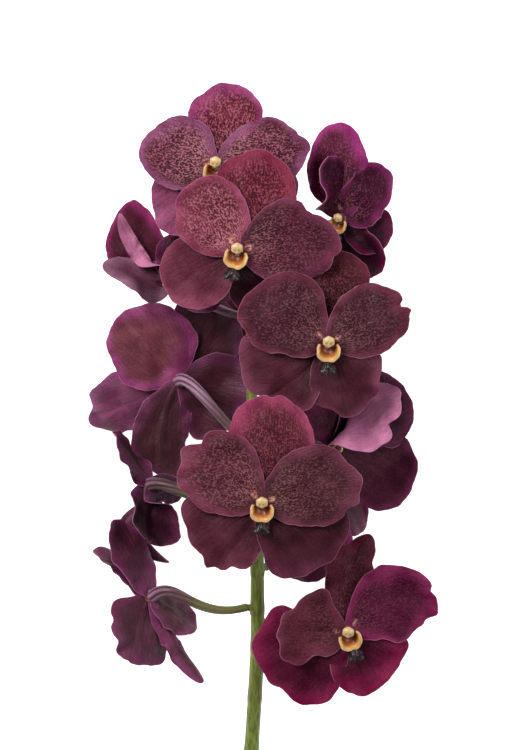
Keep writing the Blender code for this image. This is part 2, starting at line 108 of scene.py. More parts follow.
# Hub, column and lip. The midlobe's ragged edge is made of waves, (count round it, size, start)
HUB_RADIUS = 3.3
HUB_HALF_DEPTH = 1.8
HUB_OVERLAP = 0.2
SEAT_GAP = 0.3
COLUMN_HEIGHT = 7.0
COLUMN_LEAN = 1.6
COLUMN_RADII = [(0.0, 1.8), (0.45, 1.9), (0.62, 2.5), (0.75, 3.0), (0.88, 2.8), (0.96, 2.0), (1.0, 1.1)]
PIT_SIDE = 1.05
PIT_FRONT = -0.75
PIT_RADIUS = 0.6
PIT_DEPTH = 0.55
BEAK_HALF_WIDTH = 0.9
BEAK_LENGTH = 0.35
LIP_CUP_RADIUS = 5.2
LIP_CUP_WIDER = 1.15
LIP_CUP_DEPTH = 4.6
LIP_CUP_TILT = 32.0
LIP_CUP_SEAT = (0.0, -1.6, 1.1)
LIP_CUP_END = 0.24
LIP_ROLL = 0.45
RIM_START = 150.0
RIM_SWEEP = 240.0
RIM_WALL = 1.7
MIDLOBE_SIZE = (7.4, 9.6, 1.8)
MIDLOBE_TILT = -28.0
MIDLOBE_SEAT = (0.0, -11.2, 2.3)
MIDLOBE_RAGGED = [(5, 0.07, 1.0), (9, 0.06, 2.2), (17, 0.04, 0.0)]

# Pedicels, the stem with its nodes, and the bracts. The twist and the wrap are in radians, and
# the stem's route is (x, y, z, radius) from its cut end to its tip
PEDICEL_RADIUS_AT_STEM = 1.9
PEDICEL_RADIUS_AT_BLOOM = 3.3
PEDICEL_SWELL = 0.9
PEDICEL_FOOT = 0.25
PEDICEL_FOOT_SHARE = 0.05
PEDICEL_SLANT = 0.35
PEDICEL_TWIST = 2.4
STRAIGHT_END = 1.0
BOSS_LENGTH = 1.6
BOSS_RADIUS = 2.0
BOSS_TAPER = 0.2
BOSS_FLARE = 0.5
BARE_NODES = [-168.0, -196.0]
NODE_SWELL = 0.22
NODE_HALF_LENGTH = 3.0
NODE_WAIST = 0.14
NODE_WAIST_BELOW = 4.5
NODE_WAIST_HALF_LENGTH = 0.8
BRACT_LENGTH = 4.2
BRACT_BELOW = 3.4
BRACT_WRAP = 2.2
BRACT_THICKNESS = 0.35
STEM_CUT_ANGLE = 35.0
STEM_CUT_AT = 4.5
STEM_ROUTE = [
    (-4.6, -256, 3.7, 4.0), (-3.9, -238, 5.2, 4.0), (-2.8, -215, 9.6, 3.9), (-1.2, -190, 15.6, 3.8),
    (0.6, -160, 23.2, 3.7), (1.7, -137, 28.6, 3.7), (1.5, -120, 32.0, 3.6), (1.4, -94, 36.8, 3.4),
    (0.6, -64, 41.2, 3.2), (-0.8, -34, 44.8, 3.0), (-1.4, -7, 47.6, 2.8), (-2.0, 24, 50.4, 2.6),
    (-5.4, 57, 53.0, 2.3), (-9.6, 84, 54.6, 2.0), (-11.4, 100, 55.4, 1.5),
]

# The stage: a camera that looks straight down, lamps with their places, sizes and powers, a faint
# sky and a white floor. Only the lens and the sensor are in millimetres, the rest is in metres
CAMERA_HEIGHT = 1.59
CAMERA_LENS = 96.0
CAMERA_SENSOR = 24.0
LIGHTS = [("key", (-0.85, 0.75, 1.35), 0.8, 36.0), ("fill", (1.15, 0.1, 1.15), 0.9, 13.0)]
LIGHTS_AIM = (0, 0.05, 0.05)
SKY_STRENGTH = 0.20
FLOOR_GLOW = 0.9
FLOOR_SIZE = 12.0
FLOOR_DROP = 0.0002


def shade(red, green, blue):
    """A colour as it looks under the studio's light, 0 to 255, as the share of light it sends back."""
    shares = [c / 255 / 12.92 if c < 10 else ((c / 255 + 0.055) / 1.055) ** 2.4 for c in (red, green, blue)]
    return np.array(shares) / STUDIO_LIGHT


def tones(mid, margin, cells, marks, fill, fade, back, back_margin=None):
    """How one kind of tepal is coloured."""
    colours = {"mid": mid, "margin": margin, "cells": cells, "back": back, "back_margin": back_margin or back}
    return {"marks": marks, "fill": fill, "fade": fade, **{key: shade(*c) for key, c in colours.items()}}


# The ground colour at the middle and at the margin, the pale cells of the netting, how strong the netting
# is, how far its cells fill the blade, how far the margin's colour runs in, and the back and its margin.
# Both margin colours are partly the tepal's own and partly a painted glow of light through the thin margin
FINISHES = {
    "rose_dorsal": tones((100, 28, 44), (160, 66, 118), (172, 92, 108), 0.65, 0.5, 9, (150, 80, 108)),
    "rose_petal": tones((84, 30, 46), (140, 74, 110), (168, 100, 118), 0.66, 0.54, 8, (158, 90, 122)),
    "mauve_sepal": tones((130, 58, 90), (152, 78, 114), (172, 104, 130), 0.12, 0.5, 8, (150, 84, 112)),
    "crimson_dorsal": tones((90, 18, 38), (124, 34, 62), (156, 74, 88), 0.6, 0.46, 9, (120, 48, 72)),
    "blush_petal": tones((106, 40, 56), (148, 64, 92), (176, 104, 116), 0.62, 0.54, 8, (130, 60, 82)),
    "plum_petal": tones((74, 26, 42), (112, 46, 72), (130, 68, 84), 0.5, 0.45, 6, (104, 50, 68)),
    "dull_sepal": tones((102, 42, 60), (140, 66, 90), (130, 70, 84), 0.1, 0.45, 8, (104, 50, 68)),
    # A sepal that lies in its bloom's shade, with that shade painted into its colours
    "sepal_in_painted_shade": tones((46, 12, 24), (70, 24, 40), (90, 40, 56), 0.1, 0.45, 6, (84, 34, 54)),
    "magenta_dorsal": tones((78, 8, 40), (152, 42, 112), (150, 64, 100), 0.35, 0.42, 7, (120, 44, 82)),
    "magenta_petal": tones((60, 12, 36), (120, 38, 86), (132, 60, 92), 0.35, 0.4, 5, (156, 80, 112)),
    "magenta_sepal": tones((46, 0, 22), (118, 18, 72), (110, 40, 72), 0.12, 0.4, 6, (104, 30, 68)),
    "hood": tones((70, 6, 34), (140, 34, 92), (100, 34, 60), 0.15, 0.4, 4.5, (132, 50, 92)),
    "hood_petal": tones((90, 34, 56), (120, 52, 80), (120, 60, 84), 0.2, 0.4, 4, (196, 116, 152)),
    "brown_back": tones((64, 16, 34), (104, 40, 68), (104, 50, 72), 0.2, 0.4, 7, (78, 36, 46), (124, 56, 92)),
    "satin": tones((90, 34, 56), (120, 52, 80), (120, 60, 84), 0.2, 0.4, 5, (206, 122, 164)),
    "brown_dorsal": tones((68, 22, 32), (98, 36, 52), (122, 66, 70), 0.42, 0.45, 6, (110, 48, 66)),
    "brown_petal": tones((66, 26, 38), (108, 46, 66), (132, 78, 90), 0.36, 0.47, 6, (116, 52, 70)),
    "brown_sepal": tones((80, 32, 46), (116, 56, 78), (96, 52, 62), 0.1, 0.4, 7, (96, 44, 62)),
    "plum_back": tones((64, 16, 34), (104, 40, 68), (104, 50, 72), 0.2, 0.4, 10, (118, 54, 68),
                       (156, 62, 118)),
    "mauve_back": tones((70, 20, 40), (110, 46, 76), (110, 56, 80), 0.2, 0.4, 7, (124, 56, 90),
                        (150, 76, 122)),
    "grey_mauve": tones((120, 64, 86), (170, 118, 144), (128, 74, 92), 0.1, 0.4, 7, (112, 64, 88)),
    "dusky_back": tones((64, 16, 34), (104, 40, 68), (104, 50, 72), 0.2, 0.4, 8, (82, 30, 52), (118, 44, 86)),
    "wine_back": tones((58, 18, 36), (104, 40, 74), (82, 44, 60), 0.15, 0.4, 6, (76, 26, 44), (116, 50, 88)),
    "dark_plum": tones((58, 18, 36), (104, 40, 74), (82, 44, 60), 0.15, 0.4, 6, (54, 16, 32), (92, 38, 70)),
    "shaded_plum": tones((80, 26, 48), (124, 48, 88), (104, 54, 76), 0.2, 0.4, 8, (84, 28, 50),
                         (118, 46, 84)),
    "heart_dorsal": tones((84, 26, 40), (148, 54, 88), (148, 76, 90), 0.42, 0.46, 9, (120, 50, 74)),
    "heart_petal": tones((82, 34, 46), (122, 56, 78), (150, 90, 102), 0.42, 0.48, 7, (112, 54, 72)),
    "dusky_petal": tones((72, 32, 42), (108, 50, 70), (124, 72, 80), 0.42, 0.46, 6, (108, 52, 68)),
    "wine_sepal": tones((86, 36, 50), (112, 52, 72), (108, 58, 70), 0.1, 0.4, 7, (88, 38, 56)),
    "deep_wine": tones((62, 20, 34), (100, 42, 64), (90, 42, 56), 0.1, 0.4, 7, (80, 34, 52)),
    "wine_dorsal": tones((80, 24, 42), (110, 40, 62), (130, 66, 80), 0.35, 0.46, 8, (112, 48, 70)),
    "wine_petal": tones((80, 28, 42), (108, 44, 64), (120, 60, 74), 0.3, 0.45, 6, (112, 50, 68)),
    "cherry_petal": tones((74, 14, 42), (128, 34, 80), (126, 48, 80), 0.28, 0.42, 8, (120, 48, 78)),
    "cherry_sepal": tones((78, 9, 38), (134, 25, 72), (124, 42, 72), 0.14, 0.4, 12, (110, 36, 70)),
}

CLAW_CREAM = shade(214, 160, 148)
# The pale pink of the painted highlight along a tepal's rim
RIM_HIGHLIGHT_PINK = shade(206, 140, 170)

TEPAL_SHAPE = {
    "shoulder": 0.55, "base": 0.75, "tip_form": 1.0, "cup": 0.0, "wave": 0.8, "skew": 0.0, "face": None,
    "ruffle": 0.75, "notches": (), "edges": (), "folds": (),
}


def unit(vector):
    vector = np.asarray(vector, float)
    return vector / np.linalg.norm(vector)


def ease(t):
    """Goes smoothly from 0 to 1 as t does."""
    t = np.clip(t, 0.0, 1.0)
    return t * t * (3 - 2 * t)


def tepal(tip, width, finish, **shape):
    """A tepal by its tip, from the middle of its bloom, its width and its finish.

    notches are (angle round the blade from its tip, depth, half width in degrees), edges are
    (angle, how far the outline swells, half width), and folds (angle of the crease, depth, half width).
    """
    return {**TEPAL_SHAPE, "tip": np.array(tip, float), "width": width, "finish": finish, **shape}


def bloom(centre, facing, up, seat, bow, tepals, swing=(0, 0, 0), arch=(0, 0, 0), heart=1.0, ripeness=0.2,
          sway=0.0):
    """A bloom by its middle, the way it faces, its upright direction, its seat along the stem and its tepals.

    bow, swing and arch bend its pedicel, heart is the size of its lip and column, ripeness how far up the
    pedicel's purple starts, and sway how far its lip is turned.
    """
    return {
        "centre": np.array(centre, float), "facing": unit(facing), "up": np.array(up, float), "seat": seat,
        "bow": bow, "swing": np.array(swing, float), "arch": np.array(arch, float), "heart": heart,
        "ripeness": ripeness, "sway": sway, "tepals": tepals,
    }


# The blooms, from the top of the spray to its lower end: the dorsal sepal, the petals and the lower sepals
BLOOMS = [
    bloom(
        centre=(-18.9, 105.5, 77), facing=(-0.1, 0.1, 1), up=(0.1, 1, 0), seat=82, bow=(10, 12),
        tepals=[
            tepal((6.5, 42.5, -5), 38, "rose_dorsal", shoulder=0.62, edges=[(-50, -2.4, 26)]),
            tepal((-38.5, 11.5, -3), 38, "rose_petal", notches=[(34, 1.2, 6)],
                  edges=[(124, 2.2, 25), (45, -1.2, 22), (-62, -2, 28)]),
            tepal((45, 12, -1), 35, "rose_petal", shoulder=0.6, notches=[(-16, 1.6, 6)],
                  edges=[(-40, -2.2, 20), (8, 1.2, 12)], ruffle=0.9),
            tepal((-28, -28, -9), 37, "mauve_sepal", edges=[(-10, 3, 30)]),
            tepal((40, -16, -9), 32, "mauve_sepal"),
        ],
    ),
    bloom(
        centre=(45, 79.8, 64), facing=(-0.45, -0.1, 0.9), up=(0.25, 1, 0.1), seat=64, bow=(14, 14),
        swing=(0, 0, -14), heart=0.8,
        tepals=[
            tepal((-3, 49, -6), 33, "magenta_dorsal", shoulder=0.52, tip_form=1.25, face=(-0.3, 0, 1)),
            tepal((-9, 29.5, 12.5), 30, "magenta_petal", face=(0.8, 0.1, 0.5), cup=14, base=0.6),
            tepal((22, 23, 20), 28, "magenta_petal", face=(-0.7, 0, 0.7), base=0.5, skew=2, tip_form=0.85),
            tepal((12, -31, -14), 34, "magenta_sepal"),
            tepal((25, -9, -4), 26, "magenta_sepal", face=(-0.3, 0.2, 1)),
        ],
    ),
    bloom(
        centre=(-8.2, 62.3, 91), facing=(-0.06, 0, 1), up=(0, 1, 0), seat=46, bow=(14, 14), sway=-12,
        tepals=[
            tepal((10, 51, -4), 42, "crimson_dorsal", shoulder=0.6, skew=3, wave=0.4, ruffle=0.4,
                  edges=[(-30, -1.8, 24)]),
            tepal((-27.5, 31, 1), 38, "blush_petal", shoulder=0.53, base=0.65, skew=1.5,
                  edges=[(48, 1.6, 16), (-45, -2.2, 24)]),
            tepal((50.5, 3, -4), 41, "plum_petal", shoulder=0.52, tip_form=1.15, skew=-2.5,
                  notches=[(-62, 1.2, 5), (18, 1.6, 6)], edges=[(-95, 2, 18), (2, 1.2, 10), (-52, -2.4, 14)],
                  ruffle=0.8),
            tepal((-35.5, -22, -8), 38, "dull_sepal", shoulder=0.6, skew=2, edges=[(-60, -1.6, 26)],
                  ruffle=0.8),
            # This sepal lies in shade, and its finish has that shade painted in
            tepal((23, -30, -16), 36, "sepal_in_painted_shade"),
        ],
    ),
    bloom(
        centre=(-42.6, 46.2, 52), facing=(-0.2, 0.1, 0.97), up=(-1, 0.4, 0), seat=30, bow=(10, 12),
        swing=(0, 0, -6), heart=0.9, ripeness=0.5,
        tepals=[
            tepal((-24, 42, -12), 33, "hood", face=(-0.2, -0.2, 1), cup=20, skew=-6),
            tepal((-26.5, 36, 5), 8.2, "hood_petal", face=(-0.2, 0.3, -0.9), cup=20, skew=4.6, ruffle=0.2),
            tepal((5, 26, 6), 23, "dark_plum"),
            tepal((-34, 11, 8), 26, "grey_mauve", face=(-0.1, 0.6, 0.8), cup=20, tip_form=1.9, shoulder=0.35,
                  base=0.5, skew=-1, edges=[(75, -3.5, 32)]),
            tepal((26, -8, 4), 20, "dark_plum"),
        ],
    ),
    bloom(
        centre=(6, 40.5, 13.5), facing=(0.08, 0.08, -1), up=(0.1, 1, 0), seat=12, bow=(8, 10),
        tepals=[
            tepal((6, 40, -6), 35, "plum_back"),
            tepal((-39, 8, -20), 36, "plum_back"),
            tepal((42, 12, -20), 38, "plum_back"),
            tepal((-24, -30, -6), 33, "plum_back"),
            tepal((30, -27, -6), 33, "plum_back"),
        ],
    ),
    bloom(
        centre=(36.6, 15.9, 92), facing=(0.04, 0, 1), up=(0, 1, 0), seat=0, bow=(14, 16),
        tepals=[
            tepal((8.5, 46.5, -16), 36, "brown_dorsal", shoulder=0.6, edges=[(78, -3, 20)]),
            tepal((-44.5, 17, 3.5), 41, "brown_petal", shoulder=0.53, skew=5,
                  edges=[(85, 2.6, 34), (122, 1.6, 18), (-39, -2.4, 16), (-105, -2, 18)]),
            tepal((38.5, 19, 0), 36, "brown_petal", shoulder=0.58, tip_form=0.85, skew=-1,
                  notches=[(-2, 2.6, 5)], edges=[(9, 2.4, 6), (-20, 1.2, 10), (70, -1.6, 20)], ruffle=0.8),
            tepal((-41, -22, -14), 43, "brown_sepal", shoulder=0.58,
                  edges=[(-35, -4, 20), (-105, 3.4, 22), (71, 2.6, 20)], ruffle=0.9, folds=[(-28, 3.2, 9)]),
            tepal((17, -35, -9), 38, "brown_sepal", shoulder=0.58, tip_form=1.3,
                  edges=[(58, -2.6, 18), (-26, -2.8, 14), (-72, -2.4, 18), (-108, 3, 18)],
                  folds=[(12, 1.2, 8)]),
        ],
    ),
    bloom(
        centre=(-39.5, -2, 24), facing=(-0.2, 0.3, -1), up=(-0.6, 0.75, 0.3), seat=-33, bow=(10, 16),
        arch=(3, 9, 0),
        tepals=[
            tepal((-29.5, 34, 8), 47, "plum_back", shoulder=0.5, base=0.6,
                  folds=[(4, -4.6, 15), (-62, -0.9, 9)],
                  edges=[(-125, 1.8, 18), (75, -1.8, 22), (-10, -1, 20)]),
            tepal((-46, -20, -18), 32, "mauve_back", shoulder=0.66, tip_form=0.8, folds=[(0, -1.6, 8)],
                  edges=[(-22, -2.2, 14), (8, 4, 14), (74, -1.8, 20), (-110, 3.6, 24)]),
            tepal((27, 36.5, -4), 37, "wine_back", edges=[(30, 2, 30), (77, 7, 24)]),
            tepal((-8.5, -50, -10), 30, "brown_back", skew=-4.5, folds=[(0, 0.9, 7)],
                  edges=[(-45, 2.8, 26), (20, 2.8, 20), (72, -1.2, 14)]),
            tepal((35.5, -12.5, -3), 42, "wine_back", edges=[(-80, 4.5, 32), (-97, 3.5, 14)]),
        ],
    ),
    bloom(
        centre=(40.5, -36, 48), facing=(0.8, -0.4, 0.3), up=(-0.75, -0.3, 0.6), seat=-58, bow=(10, 12),
        heart=0.5,
        tepals=[
            tepal((-11, 24, 4), 34, "shaded_plum", face=(0.3, 0, 1)),
            tepal((33.5, 26, 20), 36, "satin", face=(0.6, -0.2, -0.6), base=0.38, skew=-5.5,
                  edges=[(-50, -3.2, 12)], notches=[(-46, 1.6, 5)], ruffle=0.9),
            tepal((-3, -36, -14), 34, "shaded_plum"),
            tepal((37.5, 29, -12), 36, "dark_plum", shoulder=0.65, tip_form=0.7, face=(0.1, -0.1, 1),
                  edges=[(96, 7.5, 24), (62, 2, 14)]),
            tepal((42, -22, -20), 42, "shaded_plum", shoulder=0.65, tip_form=0.7, face=(0.1, 0.1, 1)),
        ],
    ),
    bloom(
        centre=(3.7, -63.7, 92), facing=(0, -0.04, 1), up=(0, 1, 0), seat=-86, bow=(16, 16),
        tepals=[
            tepal((4, 53.5, -3), 43, "heart_dorsal", shoulder=0.62, skew=2.5, notches=[(2, 1.8, 6)],
                  edges=[(17, 1.2, 10)]),
            tepal((-41, 19, 2), 42, "heart_petal", shoulder=0.56, skew=5, notches=[(40, 3, 6)],
                  edges=[(22, 4.4, 10), (52, 2.6, 14), (-58, -2.4, 22)], ruffle=0.8),
            tepal((49, 12, 1), 41, "dusky_petal", skew=-2,
                  edges=[(-25, -1.8, 12), (46, -2.4, 12), (0, 1.4, 12), (36, 1.2, 8)], ruffle=0.7),
            tepal((-29, -28, -7), 42, "wine_sepal", shoulder=0.6, tip_form=0.75, skew=2,
                  edges=[(-10, 4, 8), (-58, -3.4, 14), (85, 5, 20), (35, 1.6, 14)], ruffle=1,
                  folds=[(-25, 1.4, 8)]),
            tepal((31, -31, -8), 46, "deep_wine", shoulder=0.6, skew=-4,
                  edges=[(-52, 4.4, 26), (-16, 2.4, 16), (80, 2.4, 20)], ruffle=0.8, folds=[(18, 1.2, 8)]),
        ],
    ),
    bloom(
        centre=(-55, -57, 31), facing=(-0.5, -0.2, -0.85), up=(0.3, 0.85, -0.3), seat=-72, bow=(14, 14),
        heart=0.7, ripeness=-0.3,
        tepals=[
            tepal((-17.2, 28, 8), 20, "dusky_back", face=(-0.75, -0.5, -0.3)),
            tepal((-1.5, -29, 10), 24, "dark_plum", face=(-0.85, -0.1, -0.4), base=0.5),
            tepal((18, -4, -12), 16, "dark_plum", wave=0.3),
            tepal((12, -31.5, -3), 28, "dark_plum", face=(-0.2, 0, 1), tip_form=1.3, skew=6),
            tepal((9, -41.5, -10), 13, "dark_plum", face=(-0.2, 0, 1), skew=17),
        ],
    ),
    bloom(
        centre=(33.3, -73.4, 13.5), facing=(0.2, -0.08, -1), up=(0.1, 1, 0), seat=-101, bow=(8, 10),
        tepals=[
            tepal((2, 38, -5), 33, "plum_back"),
            tepal((-32, 12, -20), 34, "plum_back"),
            tepal((26, 4.5, -17.5), 31, "dusky_back"),
            tepal((-10, -35, -6), 34, "magenta_sepal"),
            tepal((10, -25, -6), 26, "plum_back"),
        ],
    ),
    bloom(
        centre=(-54.1, -114.4, 38), facing=(-0.65, -0.2, -0.7), up=(-0.6, 0.75, 0), seat=-121, bow=(26, 18),
        swing=(0, -8, 0), arch=(0, 6, 2), ripeness=-0.2,
        tepals=[
            tepal((-19, 39.5, 0), 26, "dusky_back", face=(-0.6, -0.3, -0.6)),
            tepal((-28.5, 25, -3), 20, "dusky_back", face=(-0.55, -0.7, -0.3)),
            tepal((-7, -35, 6), 41, "dusky_back", face=(-0.6, 0.1, -0.7), base=0.55, skew=-2,
                  edges=[(-125, 3.4, 22), (-62, -3.4, 16), (60, 3.2, 22)],
                  notches=[(-98, 1.4, 6), (-20, 1, 5)], ruffle=1),
            tepal((27, -45, 0), 13, "dusky_back", face=(-0.5, -0.3, -0.7), cup=70),
            tepal((24, -17, -14), 24, "wine_back", face=(-0.2, -0.6, -0.7)),
        ],
    ),
    bloom(
        centre=(47, -130.6, 62), facing=(0.06, -0.06, 1), up=(0.1, 1, 0), seat=-141, bow=(14, 14), sway=26,
        tepals=[
            tepal((9.5, 50.5, -8), 25, "wine_dorsal", shoulder=0.6, tip_form=1.2, skew=-4,
                  edges=[(-22, -2.8, 20), (62, -2.2, 16)]),
            tepal((-34.5, -1.5, 8), 36, "wine_petal", shoulder=0.6, tip_form=0.9, skew=1,
                  edges=[(62, -3.4, 14), (116, 6, 18), (-105, -6, 20), (-38, 2.6, 14), (0, 1.6, 10)]),
            tepal((45.5, 16, 0), 36, "cherry_petal", skew=-8,
                  edges=[(40, -1.4, 12), (95, 5, 18), (-34, 3.2, 26)], notches=[(-12, 1.8, 5)], ruffle=0.8),
            tepal((-40, -26, -10), 47, "cherry_sepal", shoulder=0.58, skew=2.5,
                  edges=[(100, 5, 22), (48, 3.6, 22), (-30, -1.8, 14), (-88, 3.6, 30)], folds=[(-15, 1.6, 9)],
                  ruffle=0.8),
            tepal((18.5, -28, -8), 39, "cherry_sepal", edges=[(-82, 4, 18), (38, 3, 16)], ruffle=0.8),
        ],
    ),
]


# Small tools

def only(obj):
    """Leaves just this object selected and active."""
    bpy.ops.object.select_all(action="DESELECT")
    obj.select_set(True)
    bpy.context.view_layer.objects.active = obj


def points_of(obj):
    flat = np.empty(len(obj.data.vertices) * 3)
    obj.data.vertices.foreach_get("co", flat)
    return flat.reshape(-1, 3)


def move_points(obj, points):
    """Moves an object's points, in millimetres."""
    obj.data.vertices.foreach_set("co", (np.asarray(points) * MM).ravel())
    obj.data.update()


def add_grid(name, rows, columns):
    """A square grid to work on, and how far along and across it each of its points lies, 0 to 1."""
    bpy.ops.object.select_all(action="DESELECT")
    bpy.ops.mesh.primitive_grid_add(x_subdivisions=rows, y_subdivisions=columns, size=1.0)
    obj = bpy.context.object
    obj.name = name
    place = points_of(obj) + 0.5
    return obj, place[:, 0], place[:, 1]


def add_ball(name, around, rings, radius):
    bpy.ops.object.select_all(action="DESELECT")
    bpy.ops.mesh.primitive_uv_sphere_add(segments=around, ring_count=rings, radius=radius)
    obj = bpy.context.object
    obj.name = name
    return obj


def paint(obj, **notes):
    """Notes a number, three numbers or a colour for each point of an object."""
    for name, values in notes.items():
        values = np.asarray(values, np.float32)
        kind, key = ("FLOAT", "value") if values.ndim == 1 else ("FLOAT_VECTOR", "vector")
        obj.data.attributes.new(name, kind, "POINT").data.foreach_set(key, values.ravel())


def weigh(obj, name, weights):
    """A vertex group with a weight for each point."""
    group = obj.vertex_groups.new(name=name)
    for i, weight in enumerate(weights):
        group.add([i], float(weight), "REPLACE")
    return group


def thicken(obj, thickness, **settings):
    """Gives a sheet its thickness, half to each side."""
    solid = obj.modifiers.new("Thickness", "SOLIDIFY")
    solid.thickness = thickness * MM
    solid.offset = 0.0
    for key, value in settings.items():
        setattr(solid, key, value)


def apply_all(obj):
    only(obj)
    for modifier in list(obj.modifiers):
        bpy.ops.object.modifier_apply(modifier=modifier.name)
    obj.vertex_groups.clear()


def merge_points(obj, distance):
    only(obj)
    bpy.ops.object.mode_set(mode="EDIT")
    bpy.ops.mesh.select_all(action="SELECT")
    bpy.ops.mesh.remove_doubles(threshold=distance * MM)
    bpy.ops.mesh.normals_make_consistent(inside=False)
    bpy.ops.object.mode_set(mode="OBJECT")


def join(objects, name):
    bpy.ops.object.select_all(action="DESELECT")
    for obj in objects:
        obj.select_set(True)
    bpy.context.view_layer.objects.active = objects[0]
    if len(objects) > 1:
        bpy.ops.object.join()
    obj = bpy.context.object
    obj.name = obj.data.name = name
    return obj


def dress(obj, *materials, angle=60.0):
    """Gives an object its materials and shades its gentle edges smooth."""
    for name in materials:
        obj.data.materials.append(MATERIALS[name])
    only(obj)
    bpy.ops.object.shade_smooth_by_angle(angle=math.radians(angle))


def finish_piece(obj, node):
    """Puts a finished piece in the place of the CAD node that it stands for."""
    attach(obj, "root")
    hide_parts(node)


# Tepals

def bell(turn, angle, width):
    """How far off an angle a place is, in half widths, and the bell that stands there, angles in degrees."""
    off = (turn - math.radians(angle)) / math.radians(width)
    return off, np.exp(-off * off)


def blade_points(t, s, theta, length, phase, habit):
    """The points of a blade's middle surface: along it, across it, and their height on its front.

    It also gives the share of the arch at each point, and where each lies on the flat blade.
    """
    half = t["width"] / 2
    side = CLAW_HALF_WIDTH + (half - CLAW_HALF_WIDTH) * (1 - (1 - s) ** 2) ** t["base"]
    shoulder = t["shoulder"] * length
    x = shoulder * s + (length - shoulder) * s * np.cos(theta) ** t["tip_form"]
    y = side * np.sin(theta)
    margin = 1 - (1 - np.abs(np.sin(theta)) ** MARGIN_ACROSS) * (1 - s ** MARGIN_ALONG)
    turn = np.arctan2(y, x - shoulder)
    root = ease(x / WAVE_START)
    height = t["wave"] * margin * root * np.sin(MARGIN_WAVES * turn + phase)

    rim = 1 - (1 - np.abs(np.sin(theta)) ** RIM_ACROSS) * (1 - s ** RIM_ALONG)
    a, b, c, d, e = (habit.uniform(0, math.tau) for _ in range(5))
    starts = (a, b, c, a + b)
    swell = sum(size * np.sin(count * turn + start) for (count, size), start in zip(OUTLINE_WAVES, starts))
    frill = t["ruffle"] * (0.65 + 0.35 * np.sin(2 * turn + d))
    height += frill * rim * root * np.sin(RIM_FRILLS * turn + e)
    for angle, depth, width in t["notches"]:
        off, dent = bell(turn, angle, width)
        swell = swell - depth / half * dent
        height += NOTCH_CURL * depth * rim * off * dent
    for angle, amount, width in t["edges"]:
        swell = swell + amount / half * bell(turn, angle, width)[1]
    x = x + (x - shoulder) * swell * rim * root
    y = y * (1 + swell * rim * root)
    for angle, depth, width in t["folds"]:
        height -= depth * bell(theta, angle, width)[1] * root * (0.35 + 0.65 * s)
    midrib = np.exp(-(y / MIDRIB_HALF_WIDTH) ** 2) * ease(x / MIDRIB_START) * (1 - (x / length) ** 2).clip(0)
    height -= MIDRIB_DEPTH * midrib
    for wavelength, size in SURFACE_WAVES:
        way, start = habit.uniform(0, math.tau), habit.uniform(0, math.tau)
        steps = math.tau / wavelength
        height += size * root * np.sin(steps * (x * math.cos(way) + y * math.sin(way)) + start)
    hump = 4 * (x / length) * (1 - x / length)
    flat_x, flat_y = x, y
    if t["cup"]:
        bend = math.radians(t["cup"]) / half
        height = height + (1 - np.cos(bend * y)) / bend
        y = np.sin(bend * y) / bend
    return x, y + t["skew"] * hump, height, hump, flat_x, flat_y


def tepal_object(name, b, kind, t, wave, habit):
    """One tepal: its root lies flat on the hub, then it bends to its tip and turns to its own face."""
    facing = b["facing"]
    lift = facing * LIFT[kind]
    along = t["tip"] - lift
    length = np.linalg.norm(along)
    along = along / length
    across = unit(np.cross(along, facing))
    front = np.cross(across, along)
    face = facing if t["face"] is None else np.array(t["face"])
    turn = math.atan2(-face @ across, face @ front)
    arch = ARCH[kind] - ROOT_BEND * (t["tip"] @ facing)
    phase = wave.uniform(0, math.tau)

    obj, u, v = add_grid(name, TEPAL_ROWS, TEPAL_COLUMNS)
    s = 1 - (1 - u).clip(0) ** ROW_CROWDING
    theta = (0.5 - v) * math.pi
    x, y, height, hump, flat_x, flat_y = blade_points(t, s, theta, length, phase, habit)
    lean = turn * ease((x - TURN_START) / (TURN_SHARE * length))
    out = y * np.cos(lean) - height * np.sin(lean)
    rise = y * np.sin(lean) + height * np.cos(lean) + arch * hump
    points = lift + np.outer(x, along) + np.outer(out, across) + np.outer(rise, front) + b["centre"]
    points[:, 2] = np.maximum(points[:, 2], PRESSED_HEIGHT[kind] + TEPAL_THICKNESS / 2)
    move_points(obj, points - ORIGIN)

    on_margin = (np.abs(v - 0.5) > 0.4999) | (u > 0.9999)
    blade = np.stack([flat_x, flat_y], 1)
    edge = np.sqrt(((blade[:, None] - blade[on_margin][None]) ** 2).sum(2)).min(1)
    colour_tepal(obj, t, kind, length, flat_x, flat_y, theta, edge, habit)

    group = weigh(obj, "thickness", ease(edge / RIM_WIDTH))
    thicken(obj, TEPAL_THICKNESS, vertex_group=group.name, thickness_vertex_group=RIM_THICKNESS_SHARE,
            material_offset=1, material_offset_rim=1)
    for side in ("tepal_face", "tepal_back"):
        obj.data.materials.append(MATERIALS[side])
    apply_all(obj)
    points = points_of(obj)
    points[:, 2] = np.maximum(points[:, 2], 0.0)
    move_points(obj, points / MM)
    dress(obj, angle=50.0)
    return obj


